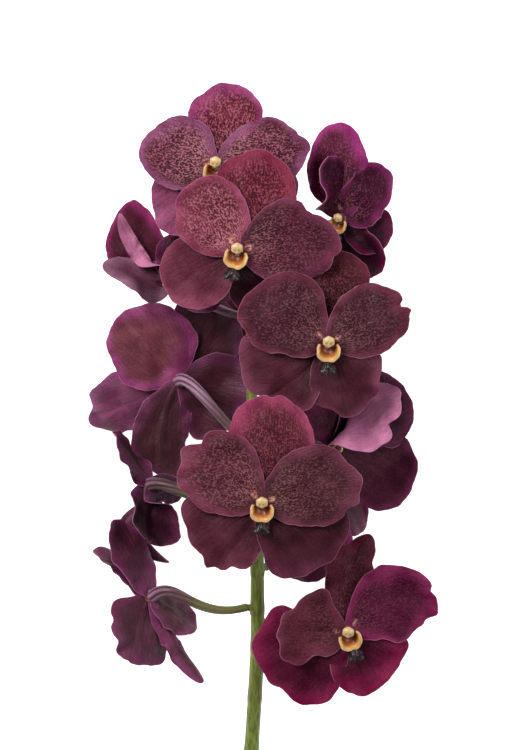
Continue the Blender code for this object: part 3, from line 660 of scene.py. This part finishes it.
def colour_tepal(obj, t, kind, length, x, y, theta, edge, habit):
    """Notes on each point where it lies on the blade and how it is coloured."""
    finish = FINISHES[t["finish"]]
    lane = theta * t["width"] / 2 * LANE_SHARE
    shift = np.full(len(x), habit.uniform(0, 40))
    turn = np.arctan2(y, x - t["shoulder"] * length)
    starts = habit.uniform(0, math.tau), habit.uniform(0, math.tau)
    uneven = 1 + sum(size * np.sin(count * turn + start)
                     for (count, size), start in zip(MARGIN_UNEVEN, starts))
    # The margin's colour, front and back, is partly the tepal's own and partly painted glow of light through
    # the thin margin
    inward = ease(edge / (finish["fade"] * uneven))[:, None]
    ground = finish["margin"] * (1 - inward) + finish["mid"] * inward
    behind = finish["back_margin"] * (1 - inward) + finish["back"] * inward
    # Sepals darker towards the bloom's heart: partly their own colour, partly painted shade
    if kind == "sepal":
        heart = 1 - ease((x - HEART_START) / (SEPAL_HEART_TONE_AND_SHADE_SHARE * length))
        ground = ground * (1 - SEPAL_HEART_TONE_AND_SHADE * heart)[:, None]
    ground = ground * (1 - ROOT_DARK * (1 - ease(x / ROOT_LENGTH)))[:, None]
    cells = finish["cells"] + np.zeros((len(x), 3))
    claw = np.zeros(len(x))
    if kind == "petal":
        claw = np.exp(-((x - CLAW_AT) / CLAW_LENGTH) ** 2 - (y / CLAW_WIDTH) ** 2)
        claw = claw * min(1.0, finish["marks"] / CLAW_MARKS)
        near = (1 - ease((x - HEART_START) / (CREAM_SHARE * length)))[:, None]
        near = CREAM_CELLS * near * min(1.0, finish["marks"] / CREAM_MARKS)
        cells = finish["cells"] * (1 - near) + CLAW_CREAM * near
    in_rim = NETTING_AT_RIM + (1 - NETTING_AT_RIM) * ease((edge - NETTING_RIM) / NETTING_RISE)
    marks = NETTING_STRENGTH * finish["marks"] * in_rim * (1 - NETTING_FADE * ease(x / length - 0.15))
    fill = finish["fill"] - FILL_FADE * ease(x / length)
    paint(obj, blade=np.stack([x, y, lane], 1), edge=edge, shift=shift, claw=claw, ground=ground, cells=cells,
          back=behind, marks=marks, fill=fill)


def hub_object(name, b):
    """The small heart of a bloom, where its tepals meet."""
    obj = add_ball(name, 28, 14, 1.0)
    points = points_of(obj)
    turn = Vector(b["facing"]).to_track_quat("Z", "Y").to_matrix()
    sides = HUB_RADIUS * (1 + 0.04 * np.cos(5 * np.arctan2(points[:, 1], points[:, 0])))
    points = points * np.stack([sides, sides, np.full(len(sides), HUB_HALF_DEPTH + HUB_OVERLAP)], 1)
    move_points(obj, points @ np.array(turn).T + b["centre"] - ORIGIN)
    dress(obj, "hub", angle=50.0)
    return obj


def bloom_frame(b):
    """The frame of the bloom's heart, on its hub: X to its right, Y to its dorsal sepal, Z as it faces."""
    z = Vector(b["facing"])
    x = Vector(b["up"]).cross(z).normalized()
    matrix = Matrix((x, z.cross(x), z)).transposed().to_4x4()
    seat = b["centre"] + b["facing"] * (HUB_HALF_DEPTH + SEAT_GAP) - ORIGIN
    matrix.translation = Vector(seat) * MM
    return matrix @ Matrix.Scale(b["heart"], 4)


# Routes and tubes

def through(points, count):
    """A smooth line through the points, with count places along it."""
    points = np.asarray(points, float)
    ends = np.vstack([2 * points[0] - points[1], points, 2 * points[-1] - points[-2]])
    t = np.linspace(0, len(points) - 1, count)
    i = np.minimum(t.astype(int), len(points) - 2)
    f = (t - i)[:, None]
    p0, p1, p2, p3 = ends[i], ends[i + 1], ends[i + 2], ends[i + 3]
    return 0.5 * (2 * p1 + (p2 - p0) * f + (2 * p0 - 5 * p1 + 4 * p2 - p3) * f ** 2
                  + (3 * p1 - p0 - 3 * p2 + p3) * f ** 3)


def frames_along(line):
    """Two directions square to a line at each of its points, which don't twist about it."""
    way = np.gradient(line, axis=0)
    way /= np.linalg.norm(way, axis=1)[:, None]
    side = np.empty_like(way)
    start = np.array((0.0, 0.0, 1.0)) if abs(way[0][2]) < 0.9 else np.array((1.0, 0.0, 0.0))
    side[0] = unit(start - way[0] * (start @ way[0]))
    for i in range(1, len(line)):
        side[i] = unit(side[i - 1] - way[i] * (side[i - 1] @ way[i]))
    return side, np.cross(way, side)


def tube_object(name, line, radii, around, relief, ripeness=0.0):
    """A closed tube along a line. relief gives the share of the radius by place along and angle round."""
    obj, u, v = add_grid(name, len(line) + 3, around)
    row = np.rint(u * (np.unique(np.round(u, 6)).size - 1)).astype(int)
    last = row.max()
    at = np.clip(row - 2, 0, len(line) - 1)
    shrink = np.where((row == 0) | (row == last), 0.0, np.where((row == 1) | (row == last - 1), 0.86, 1.0))
    angle = math.tau * v
    along = at / (len(line) - 1)
    side, other = frames_along(line)
    share = relief(along, angle)
    radius = np.asarray(radii)[at] * shrink * share
    outward = (np.cos(angle) * radius)[:, None] * side[at] + (np.sin(angle) * radius)[:, None] * other[at]
    move_points(obj, line[at] + outward)
    paint(obj, along=along + ripeness, relief=share)
    merge_points(obj, 0.02)
    return obj


def stem_at(y):
    """The middle of the stem and its radius at the distance y along it."""
    route = np.array(STEM_ROUTE)
    x, z, radius = (np.interp(y, route[:, 1], route[:, i]) for i in (0, 2, 3))
    return np.array((x, y, z)), radius


def pedicel_route(b):
    """The pedicel's middle line, from its boss on the stem to the back of the hub."""
    middle, radius = stem_at(b["seat"])
    end = b["centre"] - b["facing"] * (HUB_HALF_DEPTH + SEAT_GAP)
    out = end - middle
    out[1] *= PEDICEL_SLANT
    out = unit(out)
    start = middle + out * (radius + BOSS_LENGTH + SEAT_GAP)
    from_stem, to_bloom = b["bow"]
    first = start + out * STRAIGHT_END
    last = end - b["facing"] * STRAIGHT_END
    handles = [first, first + out * from_stem + b["swing"], last - b["facing"] * to_bloom + b["arch"], last]
    t = np.linspace(0, 1, 44)[:, None]
    line = (handles[0] * (1 - t) ** 3 + handles[1] * 3 * t * (1 - t) ** 2
            + handles[2] * 3 * t * t * (1 - t) + handles[3] * t ** 3)
    return middle, out, np.vstack([start, line, end])


def pedicel_object(name, b):
    """The ribbed ovary and its pedicel, which turn half about themselves on their way to the bloom."""
    line = pedicel_route(b)[2]
    t = np.linspace(0, 1, len(line))
    grow = PEDICEL_RADIUS_AT_BLOOM - PEDICEL_RADIUS_AT_STEM
    foot = PEDICEL_FOOT * np.exp(-(t / PEDICEL_FOOT_SHARE) ** 2)
    radii = PEDICEL_RADIUS_AT_STEM + grow * t ** PEDICEL_SWELL + foot

    def ribs(along, angle):
        strength = 0.03 + 0.13 * ease((along - 0.25) / 0.5)
        return 1 + strength * (np.abs(np.cos(3 * (angle + PEDICEL_TWIST * along))) - 0.75)

    obj = tube_object(name, line - ORIGIN, radii, 48, ribs, b["ripeness"])
    dress(obj, "pedicel")
    return obj


def cut_stem(stem):
    """Cuts the stem's lower end off on a slant."""
    only(stem)
    angle = math.radians(STEM_CUT_ANGLE)
    cut_at = (np.array(STEM_ROUTE[0][:3]) + (0, STEM_CUT_AT, 0) - ORIGIN) * MM
    bpy.ops.object.mode_set(mode="EDIT")
    bpy.ops.mesh.select_all(action="SELECT")
    bpy.ops.mesh.bisect(plane_co=cut_at, plane_no=(math.sin(angle), -math.cos(angle), 0), use_fill=True,
                        clear_outer=True, threshold=1e-7)
    bpy.ops.object.mode_set(mode="OBJECT")


def stem_object():
    """The flower stem, with a swollen node, a boss and a dry bract under each pedicel."""
    route = through(STEM_ROUTE, 320)
    line, radii = route[:, :3], route[:, 3].copy()
    for seat in sorted(b["seat"] for b in BLOOMS) + BARE_NODES:
        away = line[:, 1] - seat
        radii += NODE_SWELL * np.exp(-(away / NODE_HALF_LENGTH) ** 2)
        radii -= NODE_WAIST * np.exp(-((away + NODE_WAIST_BELOW) / NODE_WAIST_HALF_LENGTH) ** 2)

    def ridges(along, angle):
        return 1 + 0.018 * np.sin(9 * angle + 5 * along) + 0.012 * np.sin(4 * angle - 9 * along)

    stem = tube_object("stalk", line - ORIGIN, radii, 56, ridges)
    cut_stem(stem)
    parts = [stem]
    reach = np.linspace(0, 1, 14)
    t = reach[:, None]
    boss_radii = BOSS_RADIUS - BOSS_TAPER * reach + BOSS_FLARE * (1 - reach) ** 2
    for i, b in enumerate(BLOOMS):
        middle, out, pedicel = pedicel_route(b)
        boss_line = middle * (1 - t) + (pedicel[0] - out * SEAT_GAP) * t - ORIGIN
        parts.append(tube_object(f"boss_{i}", boss_line, boss_radii, 28,
                                 lambda along, angle: 1 + 0.02 * np.sin(5 * angle)))
        parts.append(bract_object(f"bract_{i}", middle, out, stem_at(b["seat"])[1]))
    obj = join(parts, "flower_stalk")
    dress(obj, "stem")
    return obj


def bract_object(name, middle, out, radius):
    """A small scale that clasps the stem under a pedicel."""
    obj, u, v = add_grid(name, 12, 14)
    down = np.array((0.0, -1.0, 0.0))
    side = unit(np.cross(out, down))
    wrap = (v - 0.5) * BRACT_WRAP * (1 - u ** 2.2).clip(0.03)
    lift = radius + 0.25 + 0.9 * u ** 2
    outward = np.outer(np.cos(wrap), out) + np.outer(np.sin(wrap), side)
    points = middle + down * BRACT_BELOW - np.outer(BRACT_LENGTH * u, down) + outward * lift[:, None]
    move_points(obj, points - ORIGIN)
    paint(obj, relief=0.9 - 0.3 * u)
    thicken(obj, BRACT_THICKNESS)
    apply_all(obj)
    return obj


# Lip and column

def tilted(points, angle, seat):
    """Points turned about X by an angle in degrees and then moved to their seat."""
    return points @ np.array(Matrix.Rotation(math.radians(angle), 3, "X")).T + seat


def lip_cup():
    """The side lobes as a cup with a thick rolled rim."""
    cup, u, v = add_grid("cup", 18, 50)
    turn = np.radians(RIM_START + RIM_SWEEP * v)
    ends = ease(np.minimum(v, 1 - v) / LIP_CUP_END)
    r = 0.16 + 0.84 * u
    wavy = 1 + 0.035 * np.sin(5 * turn + 0.6) * u + 0.02 * np.sin(9 * turn) * u
    depth = LIP_CUP_DEPTH * ease(r) ** 1.35 * (0.40 + 0.60 * ends) * wavy
    roll = LIP_ROLL * ease((u - 0.75) / 0.25) * ends
    radius = LIP_CUP_RADIUS * (0.30 * r + 0.70 * np.sqrt(r)) * wavy * (0.90 + 0.10 * ends) + roll
    low = 1 + 0.14 * ease(-np.sin(turn))
    spots = np.stack([LIP_CUP_WIDER * radius * np.cos(turn), radius * np.sin(turn) * low, depth], 1)
    move_points(cup, tilted(spots, LIP_CUP_TILT, LIP_CUP_SEAT))
    paint(cup, depth=u)
    wall = weigh(cup, "wall", 0.38 + 0.62 * ease((u - 0.45) / 0.4))
    thicken(cup, RIM_WALL, vertex_group=wall.name)
    rounded = cup.modifiers.new("Rounded", "SUBSURF")
    rounded.levels = rounded.render_levels = 1
    apply_all(cup)
    cup.data.materials.append(MATERIALS["lip_cup"])
    return cup


def lip_midlobe():
    """The forked, ragged midlobe with its keels."""
    obj = add_ball("midlobe", 56, 36, 0.5)
    x, y, z = points_of(obj).T * 2
    reach = np.sqrt(x * x + y * y).clip(0, 1)
    angle = np.arctan2(y, x)
    ragged = sum(size * np.sin(count * angle + start) for count, size, start in MIDLOBE_RAGGED)
    ragged = 1 + reach ** 3 * ragged
    waist = 1 - 0.38 * ease((y + 0.2) / 0.9) + 0.40 * ease((-y - 0.1) / 0.6)
    fork = 0.26 * np.exp(-(x / 0.22) ** 2) * ease(-y)
    keels = 0.55 * np.exp(-((np.abs(x) - 0.42) / 0.16) ** 2) + 0.5 * np.exp(-(x / 0.13) ** 2)
    crumple = 0.16 * np.sin(7 * x + 3 * y) * np.sin(6 * y - 2 * x) * reach
    wide, long, thick = np.array(MIDLOBE_SIZE) / 2
    keeled = keels * (1 - reach ** 2) * 0.8 * (z > 0)
    shape = np.stack([x * ragged * waist * wide, (y * ragged + fork) * long,
                      z * thick + keeled + crumple - 0.9 * reach ** 2], 1)
    move_points(obj, tilted(shape, MIDLOBE_TILT, MIDLOBE_SEAT))
    paint(obj, depth=reach)
    obj.data.materials.append(MATERIALS["lip_midlobe"])
    return obj


def lip_object():
    obj = join([lip_cup(), lip_midlobe()], "lip_pattern")
    dress(obj)
    return obj


def column_object():
    """The column with its anther cap, standing on the hub's front, leaning towards the lip."""
    h = np.linspace(0, 1, 40)
    radii = np.interp(h, *zip(*COLUMN_RADII))
    for _ in range(2):
        radii[1:-1] = np.convolve(radii, (0.25, 0.5, 0.25), "valid")
    line = np.stack([0 * h, COLUMN_LEAN * (1 - h * h), COLUMN_HEIGHT * h], 1)

    def form(along, angle):
        return 1 + 0.05 * np.cos(2 * angle) * along - 0.05 * np.cos(6 * angle) * ease((along - 0.6) / 0.2)

    obj = tube_object("column_pattern", line, radii, 40, form)
    points = points_of(obj) / MM
    # The two pits are dented in, and marked where their shade is painted
    pits = np.zeros(len(points))
    for side in (-PIT_SIDE, PIT_SIDE):
        away = np.linalg.norm(points - (side, PIT_FRONT, COLUMN_HEIGHT), axis=1)
        dent = np.exp(-(away / PIT_RADIUS) ** 2)
        points[:, 2] -= PIT_DEPTH * dent
        pits = np.maximum(pits, dent)
    x, y, z = points.T
    beak = np.exp(-(x / BEAK_HALF_WIDTH) ** 2) * (y < -1.2) * ease((z - 4.0) / 2.0)
    points[:, 1] -= BEAK_LENGTH * beak
    move_points(obj, points)
    paint(obj, pits=pits)
    dress(obj, "column")
    return obj


def copy_into(pattern, name, matrix):
    """A copy of a finished pattern, with its own mesh, set into place."""
    obj = pattern.copy()
    obj.data = pattern.data.copy()
    obj.name = obj.data.name = name
    bpy.context.scene.collection.objects.link(obj)
    obj.data.transform(matrix)
    return obj


# Materials

def node(tree, kind, inputs=None, **settings):
    """Adds a node with its settings and inputs, each a value or the socket that feeds it."""
    made = tree.nodes.new(kind)
    for key, value in settings.items():
        setattr(made, key, value)
    for key, value in (inputs or {}).items():
        if isinstance(value, bpy.types.NodeSocket):
            tree.links.new(value, made.inputs[key])
        else:
            made.inputs[key].default_value = value
    return made


def maths(tree, operation, *values):
    return node(tree, "ShaderNodeMath", dict(enumerate(values)), operation=operation).outputs[0]


def times(tree, first, second):
    return maths(tree, "MULTIPLY", first, second)


def plus(tree, first, second):
    return maths(tree, "ADD", first, second)


def about_zero(tree, value, size):
    """A value from 0 to 1 as one about zero, of a size."""
    return times(tree, maths(tree, "SUBTRACT", value, 0.5), size)


def scaled(tree, vector, scale):
    return node(tree, "ShaderNodeVectorMath", {0: vector, "Scale": scale}, operation="SCALE").outputs[0]


def noise(tree, place, scale, detail, output="Fac"):
    inputs = {"Vector": place, "Scale": scale, "Detail": detail}
    return node(tree, "ShaderNodeTexNoise", inputs).outputs[output]


def mixed(tree, share, *colours):
    """A colour between two, by share."""
    first, second = (c if isinstance(c, bpy.types.NodeSocket) else (*c, 1.0) for c in colours)
    return node(tree, "ShaderNodeMix", {0: share, 6: first, 7: second}, data_type="RGBA").outputs[2]


def toned(tree, colour, value, saturation=1.0):
    inputs = {"Color": colour, "Value": value, "Saturation": saturation}
    return node(tree, "ShaderNodeHueSaturation", inputs).outputs[0]


def ramp(tree, value, low, high, to_low=0.0, to_high=1.0):
    """A smooth step of a value between low and high."""
    inputs = {"Value": value, "From Min": low, "From Max": high, "To Min": to_low, "To Max": to_high}
    return node(tree, "ShaderNodeMapRange", inputs, interpolation_type="SMOOTHSTEP").outputs[0]


def attribute(tree, name, output="Fac"):
    return node(tree, "ShaderNodeAttribute", attribute_name=name).outputs[output]


def object_place(tree):
    return node(tree, "ShaderNodeTexCoord").outputs["Object"]


def new_group(name, inputs, outputs):
    tree = bpy.data.node_groups.new(name, "ShaderNodeTree")
    for label, kind, value in inputs:
        made = tree.interface.new_socket(label, in_out="INPUT", socket_type=kind)
        if value is not None:
            made.default_value = value
    for label in outputs:
        tree.interface.new_socket(label, in_out="OUTPUT", socket_type="NodeSocketFloat")
    return tree, tree.nodes.new("NodeGroupInput").outputs, tree.nodes.new("NodeGroupOutput").inputs


def use_group(tree, name, **inputs):
    return node(tree, "ShaderNodeGroup", inputs, node_tree=GROUPS[name]).outputs


def grain_at(tree, place, broad, fine):
    return use_group(tree, "soft grain", Place=place, Broad=broad, Fine=fine)


def cell_netting_group():
    """The netting of a vanda's tepals: small dark and pale cells in rows along the blade."""
    inputs = [("Blade", "NodeSocketVector", None), ("Shift", "NodeSocketFloat", 0.0),
              ("Cell", "NodeSocketFloat", 2.0), ("Fill", "NodeSocketFloat", 0.5)]
    tree, given, result = new_group("cell netting", inputs, ["Pale", "Dark"])
    parts = node(tree, "ShaderNodeSeparateXYZ", {0: given["Blade"]}).outputs
    along = times(tree, parts["X"], 0.70)
    across = plus(tree, times(tree, parts["Y"], 0.55), times(tree, parts["Z"], 0.5))
    place = node(tree, "ShaderNodeCombineXYZ", {"X": along, "Y": across, "Z": given["Shift"]}).outputs[0]
    place = scaled(tree, place, maths(tree, "DIVIDE", 1.0, given["Cell"]))
    stir = scaled(tree, noise(tree, place, 0.8, 1.0, "Color"), 1.1)
    bent = node(tree, "ShaderNodeVectorMath", {0: place, 1: stir}, operation="ADD").outputs[0]
    inputs = {"Vector": bent, "Scale": 1.0, "Randomness": 0.9}
    cells = node(tree, "ShaderNodeTexVoronoi", inputs, feature="F1", voronoi_dimensions="2D").outputs
    drift = noise(tree, place, 0.45, 1.0)
    one = node(tree, "ShaderNodeSeparateColor", {0: cells["Color"]}).outputs[0]
    level = plus(tree, cells["Distance"], about_zero(tree, drift, 0.7))
    level = plus(tree, level, about_zero(tree, one, 0.16))
    low = maths(tree, "SUBTRACT", 0.55, times(tree, given["Fill"], 0.42))
    tree.links.new(ramp(tree, level, low, plus(tree, low, 0.26)), result["Pale"])
    tree.links.new(ramp(tree, level, maths(tree, "SUBTRACT", low, 0.22), low, 1.0, 0.0), result["Dark"])
    return tree


def fan_veins_group():
    """Fine veins that fan out from the claw to the margin."""
    inputs = [("Blade", "NodeSocketVector", None), ("Spacing", "NodeSocketFloat", 1.6),
              ("Width", "NodeSocketFloat", 0.3)]
    tree, given, result = new_group("fan veins", inputs, ["Mask"])
    parts = node(tree, "ShaderNodeSeparateXYZ", {0: given["Blade"]}).outputs
    lane = plus(tree, parts["Z"], times(tree, noise(tree, given["Blade"], 0.12, 3.0), 5.0))
    away = maths(tree, "PINGPONG", lane, times(tree, given["Spacing"], 0.5))
    tree.links.new(ramp(tree, away, 0.0, given["Width"], 1.0, 0.0), result["Mask"])
    return tree


def soft_grain_group():
    """The soft unevenness of a living surface, at two sizes."""
    inputs = [("Place", "NodeSocketVector", None), ("Broad", "NodeSocketFloat", 60.0),
              ("Fine", "NodeSocketFloat", 900.0)]
    tree, given, result = new_group("soft grain", inputs, ["Broad", "Fine"])
    for size, detail in (("Broad", 3.0), ("Fine", 4.0)):
        tree.links.new(noise(tree, given["Place"], given[size], detail), result[size])
    return tree


def new_material(name, **sockets):
    mat = bpy.data.materials.new(name)
    mat.use_nodes = True
    shader = mat.node_tree.nodes["Principled BSDF"]
    for key, value in sockets.items():
        shader.inputs[key.replace("_", " ")].default_value = value
    return mat, mat.node_tree, shader


def cover(tree, shader, colour, height, depth, rough=None):
    """Joins a colour, a height with its depth in millimetres and a roughness to the shader."""
    made = node(tree, "ShaderNodeBump", {"Height": height, "Distance": depth * MM, "Strength": 1.0})
    joined = {"Base Color": colour, "Normal": made.outputs[0]}
    if rough is not None:
        joined["Roughness"] = rough
    for key, socket in joined.items():
        tree.links.new(socket, shader.inputs[key])


def tepal_material(name, ground, marks_share, vein_dark, rim_highlight_share, **sockets):
    """The velvety face or the satin back of a tepal, with a painted pale highlight along its rim."""
    mat, tree, shader = new_material(name, **sockets)
    blade = attribute(tree, "blade", "Vector")
    place = object_place(tree)
    netting = use_group(tree, "cell netting", Blade=blade, Shift=attribute(tree, "shift"), Cell=0.88,
                        Fill=attribute(tree, "fill"))
    veins = use_group(tree, "fan veins", Blade=blade, Spacing=2.6, Width=0.5)["Mask"]
    grain = grain_at(tree, place, 75.0, 1100.0)
    base = attribute(tree, ground, "Color")
    colour = mixed(tree, ramp(tree, grain["Broad"], 0.32, 0.68), toned(tree, base, 0.72, 1.05),
                   toned(tree, base, 1.25, 0.97))
    colour = mixed(tree, ramp(tree, grain["Fine"], 0.35, 0.65), toned(tree, colour, 0.80), colour)
    strength = times(tree, attribute(tree, "marks"), marks_share)
    colour = mixed(tree, times(tree, netting["Dark"], strength), colour, toned(tree, colour, 0.50, 1.1))
    colour = mixed(tree, times(tree, netting["Pale"], strength), colour, attribute(tree, "cells", "Color"))
    colour = mixed(tree, times(tree, veins, vein_dark), colour, (0.03, 0.004, 0.010))
    speck = ramp(tree, grain_at(tree, place, 700.0, 1500.0)["Broad"], 0.46, 0.60)
    cream = mixed(tree, speck, shade(206, 150, 138), shade(124, 58, 54))
    clawed = times(tree, ramp(tree, attribute(tree, "claw"), 0.2, 0.7), 0.8 * marks_share)
    colour = mixed(tree, clawed, colour, cream)
    # A painted pale pink highlight along the rim of the tepal
    rim = times(tree, ramp(tree, attribute(tree, "edge"), 0.1, 0.6, 1.0, 0.0), rim_highlight_share)
    colour = mixed(tree, rim, colour, RIM_HIGHLIGHT_PINK)
    height = plus(tree, times(tree, veins, -0.5), times(tree, grain["Fine"], 0.6))
    height = plus(tree, height, times(tree, netting["Dark"], -0.3))
    cover(tree, shader, colour, height, 0.2, ramp(tree, grain["Fine"], 0.3, 0.7, 0.42, 0.60))
    return mat


def hub_material():
    mat, tree, shader = new_material("hub", Roughness=0.45, Specular_IOR_Level=0.3)
    grain = grain_at(tree, object_place(tree), 500.0, 1500.0)
    colour = mixed(tree, ramp(tree, grain["Broad"], 0.35, 0.65), shade(196, 150, 128), shade(120, 62, 72))
    cover(tree, shader, colour, grain["Fine"], 0.1)
    return mat


def lip_cup_material():
    """Cream and yellow at the rim, orange brown in the throat."""
    mat, tree, shader = new_material("lip cup", Roughness=0.38, Specular_IOR_Level=0.4, Coat_Weight=0.1)
    grain = grain_at(tree, object_place(tree), 420.0, 1600.0)
    wander = plus(tree, attribute(tree, "depth"), about_zero(tree, grain["Broad"], 0.35))
    colour = shade(120, 52, 18)
    for low, high, outer in ((0.35, 0.70, (198, 122, 46)), (0.62, 0.80, (208, 156, 92)),
                             (0.80, 1.0, (222, 188, 132))):
        colour = mixed(tree, ramp(tree, wander, low, high), colour, shade(*outer))
    cover(tree, shader, colour, grain["Fine"], 0.12)
    return mat


def lip_midlobe_material():
    """The dark, wet-looking midlobe, a little greyer in patches."""
    mat, tree, shader = new_material("lip midlobe", Specular_IOR_Level=0.25, Coat_Weight=0.1)
    grain = grain_at(tree, object_place(tree), 330.0, 1300.0)
    colour = mixed(tree, ramp(tree, grain["Broad"], 0.42, 0.6), shade(24, 12, 15), shade(52, 36, 38))
    rim = ramp(tree, attribute(tree, "depth"), 0.75, 1.0, 0.0, 0.5)
    colour = mixed(tree, rim, colour, shade(22, 13, 15))
    cover(tree, shader, colour, grain["Broad"], 0.3, ramp(tree, grain["Fine"], 0.3, 0.7, 0.28, 0.5))
    return mat


def column_material():
    """A purple foot, a cream cap with faint freckles, and painted shade, dark brown, in its pits."""
    mat, tree, shader = new_material("column", Roughness=0.36, Specular_IOR_Level=0.4, Coat_Weight=0.1)
    grain = grain_at(tree, object_place(tree), 450.0, 1600.0)
    cap = ramp(tree, attribute(tree, "along"), 0.45, 0.72)
    colour = mixed(tree, cap, shade(150, 84, 88), shade(216, 184, 130))
    freckled = times(tree, ramp(tree, grain["Broad"], 0.52, 0.64), 0.35)
    colour = mixed(tree, freckled, colour, shade(196, 140, 92))
    # Painted shade, dark brown, in the two pits of the cap
    colour = mixed(tree, times(tree, attribute(tree, "pits"), 0.9), colour, shade(96, 44, 34))
    cover(tree, shader, colour, grain["Fine"], 0.1)
    return mat


def pedicel_material():
    """Mauve and purple ribs by the bloom, turning olive brown and then green at the stem, paler on the rib
    crests, partly their own colour and partly painted highlight.
    """
    mat, tree, shader = new_material("pedicel", Specular_IOR_Level=0.35, Sheen_Weight=0.1)
    grain = grain_at(tree, object_place(tree), 140.0, 1200.0)
    along = plus(tree, attribute(tree, "along"), times(tree, grain["Broad"], 0.2))
    # Paler on the rib crests and darker in the grooves: partly the ribs' own colour, partly painted highlight
    # and shade
    crest_tone_and_highlight = ramp(tree, attribute(tree, "relief"), 0.9, 1.04)
    flower_end = mixed(tree, crest_tone_and_highlight, shade(72, 32, 52), shade(168, 122, 150))
    middle = mixed(tree, crest_tone_and_highlight, shade(54, 32, 36), shade(100, 68, 72))
    stem_end = mixed(tree, crest_tone_and_highlight, shade(82, 80, 38), shade(110, 106, 58))
    colour = mixed(tree, ramp(tree, along, 0.25, 0.5), stem_end, middle)
    colour = mixed(tree, ramp(tree, along, 0.6, 0.95), colour, flower_end)
    cover(tree, shader, colour, grain["Fine"], 0.12, ramp(tree, grain["Fine"], 0.3, 0.7, 0.4, 0.56))
    return mat


def stem_material():
    """Olive green with fine streaks along it and small dark flecks, and dry brown bracts."""
    mat, tree, shader = new_material("stem", Specular_IOR_Level=0.4)
    place = object_place(tree)
    stretched = node(tree, "ShaderNodeMapping", {"Vector": place, "Scale": (1.0, 0.06, 1.0)}).outputs[0]
    streaks = grain_at(tree, stretched, 900.0, 2600.0)
    grain = grain_at(tree, place, 60.0, 1300.0)
    colour = mixed(tree, ramp(tree, streaks["Broad"], 0.3, 0.7), shade(78, 90, 28), shade(126, 142, 58))
    colour = mixed(tree, ramp(tree, grain["Broad"], 0.35, 0.7, 0.0, 0.5), colour, shade(112, 114, 50))
    colour = mixed(tree, ramp(tree, grain["Fine"], 0.66, 0.72, 0.0, 0.55), colour, shade(58, 44, 28))
    dry = ramp(tree, attribute(tree, "relief"), 0.7, 0.93, 0.7, 0.0)
    colour = mixed(tree, dry, colour, shade(128, 104, 68))
    height = plus(tree, streaks["Broad"], times(tree, streaks["Fine"], 0.4))
    cover(tree, shader, colour, height, 0.18, ramp(tree, grain["Fine"], 0.3, 0.7, 0.38, 0.55))
    return mat


def floor_material():
    mat, _, shader = new_material("floor", Roughness=0.8, Specular_IOR_Level=0.2,
                                  Emission_Strength=FLOOR_GLOW)
    shader.inputs["Base Color"].default_value = (0.75, 0.75, 0.75, 1.0)
    shader.inputs["Emission Color"].default_value = (1.0, 1.0, 1.0, 1.0)
    return mat


# The scene round the spray

def make_camera():
    data = bpy.data.cameras.new("camera")
    data.sensor_fit = "VERTICAL"
    data.sensor_height = CAMERA_SENSOR
    data.lens = CAMERA_LENS
    camera = bpy.data.objects.new("camera", data)
    bpy.context.scene.collection.objects.link(camera)
    camera.location = (*(-ORIGIN[:2] * MM), CAMERA_HEIGHT)
    bpy.context.scene.camera = camera


def make_light():
    world = bpy.data.worlds.new("studio")
    bpy.context.scene.world = world
    world.use_nodes = True
    background = world.node_tree.nodes["Background"]
    background.inputs["Color"].default_value = (1.0, 1.0, 1.0, 1.0)
    background.inputs["Strength"].default_value = SKY_STRENGTH
    for name, place, size, power in LIGHTS:
        data = bpy.data.lights.new(name, "AREA")
        data.shape = "SQUARE"
        data.size = size
        data.energy = power
        lamp = bpy.data.objects.new(name, data)
        bpy.context.scene.collection.objects.link(lamp)
        lamp.location = place
        lamp.rotation_mode = "QUATERNION"
        lamp.rotation_quaternion = (Vector(place) - Vector(LIGHTS_AIM)).to_track_quat("Z", "Y")
        lamp.visible_camera = False
    bpy.context.scene.view_settings.view_transform = "Standard"


def make_floor():
    bpy.ops.object.select_all(action="DESELECT")
    bpy.ops.mesh.primitive_plane_add(size=FLOOR_SIZE, location=(0, 0, -FLOOR_DROP))
    floor = bpy.context.object
    floor.name = "floor"
    floor.data.materials.append(MATERIALS["floor"])


make_camera()
GROUPS = {
    "cell netting": cell_netting_group(), "fan veins": fan_veins_group(), "soft grain": soft_grain_group(),
}
MATERIALS = {
    "tepal_face": tepal_material("tepal face", "ground", 1.0, 0.12, 0.26, Specular_IOR_Level=0.09),
    "tepal_back": tepal_material("tepal back", "back", 0.15, 0.14, 0.35, Specular_IOR_Level=0.24),
    "hub": hub_material(),
    "lip_cup": lip_cup_material(),
    "lip_midlobe": lip_midlobe_material(),
    "column": column_material(),
    "pedicel": pedicel_material(),
    "stem": stem_material(),
    "floor": floor_material(),
}
make_light()
make_floor()

wave = random.Random(WAVE_SEED)
habit = random.Random(HABIT_SEED)
lip_pattern = lip_object()
column_pattern = column_object()
for number, b in enumerate(BLOOMS, start=1):
    tepals = [tepal_object(f"tepal_{number:02d}_{i}", b, kind, t, wave, habit)
              for i, (kind, t) in enumerate(zip(TEPAL_KINDS, b["tepals"]))]
    flower = join(tepals + [hub_object(f"hub_{number:02d}", b)], f"blossom_{number:02d}")
    finish_piece(flower, f"bloom_{number:02d}")
    at = bloom_frame(b)
    swayed = at @ Matrix.Rotation(math.radians(b["sway"]), 4, "Z")
    finish_piece(copy_into(lip_pattern, f"labellum_{number:02d}", swayed), f"lip_{number:02d}")
    finish_piece(copy_into(column_pattern, f"anther_{number:02d}", at), f"column_{number:02d}")
    finish_piece(pedicel_object(f"ovary_{number:02d}", b), f"pedicel_{number:02d}")
finish_piece(stem_object(), "flower_stem")
for pattern in (lip_pattern, column_pattern):
    bpy.data.objects.remove(pattern)
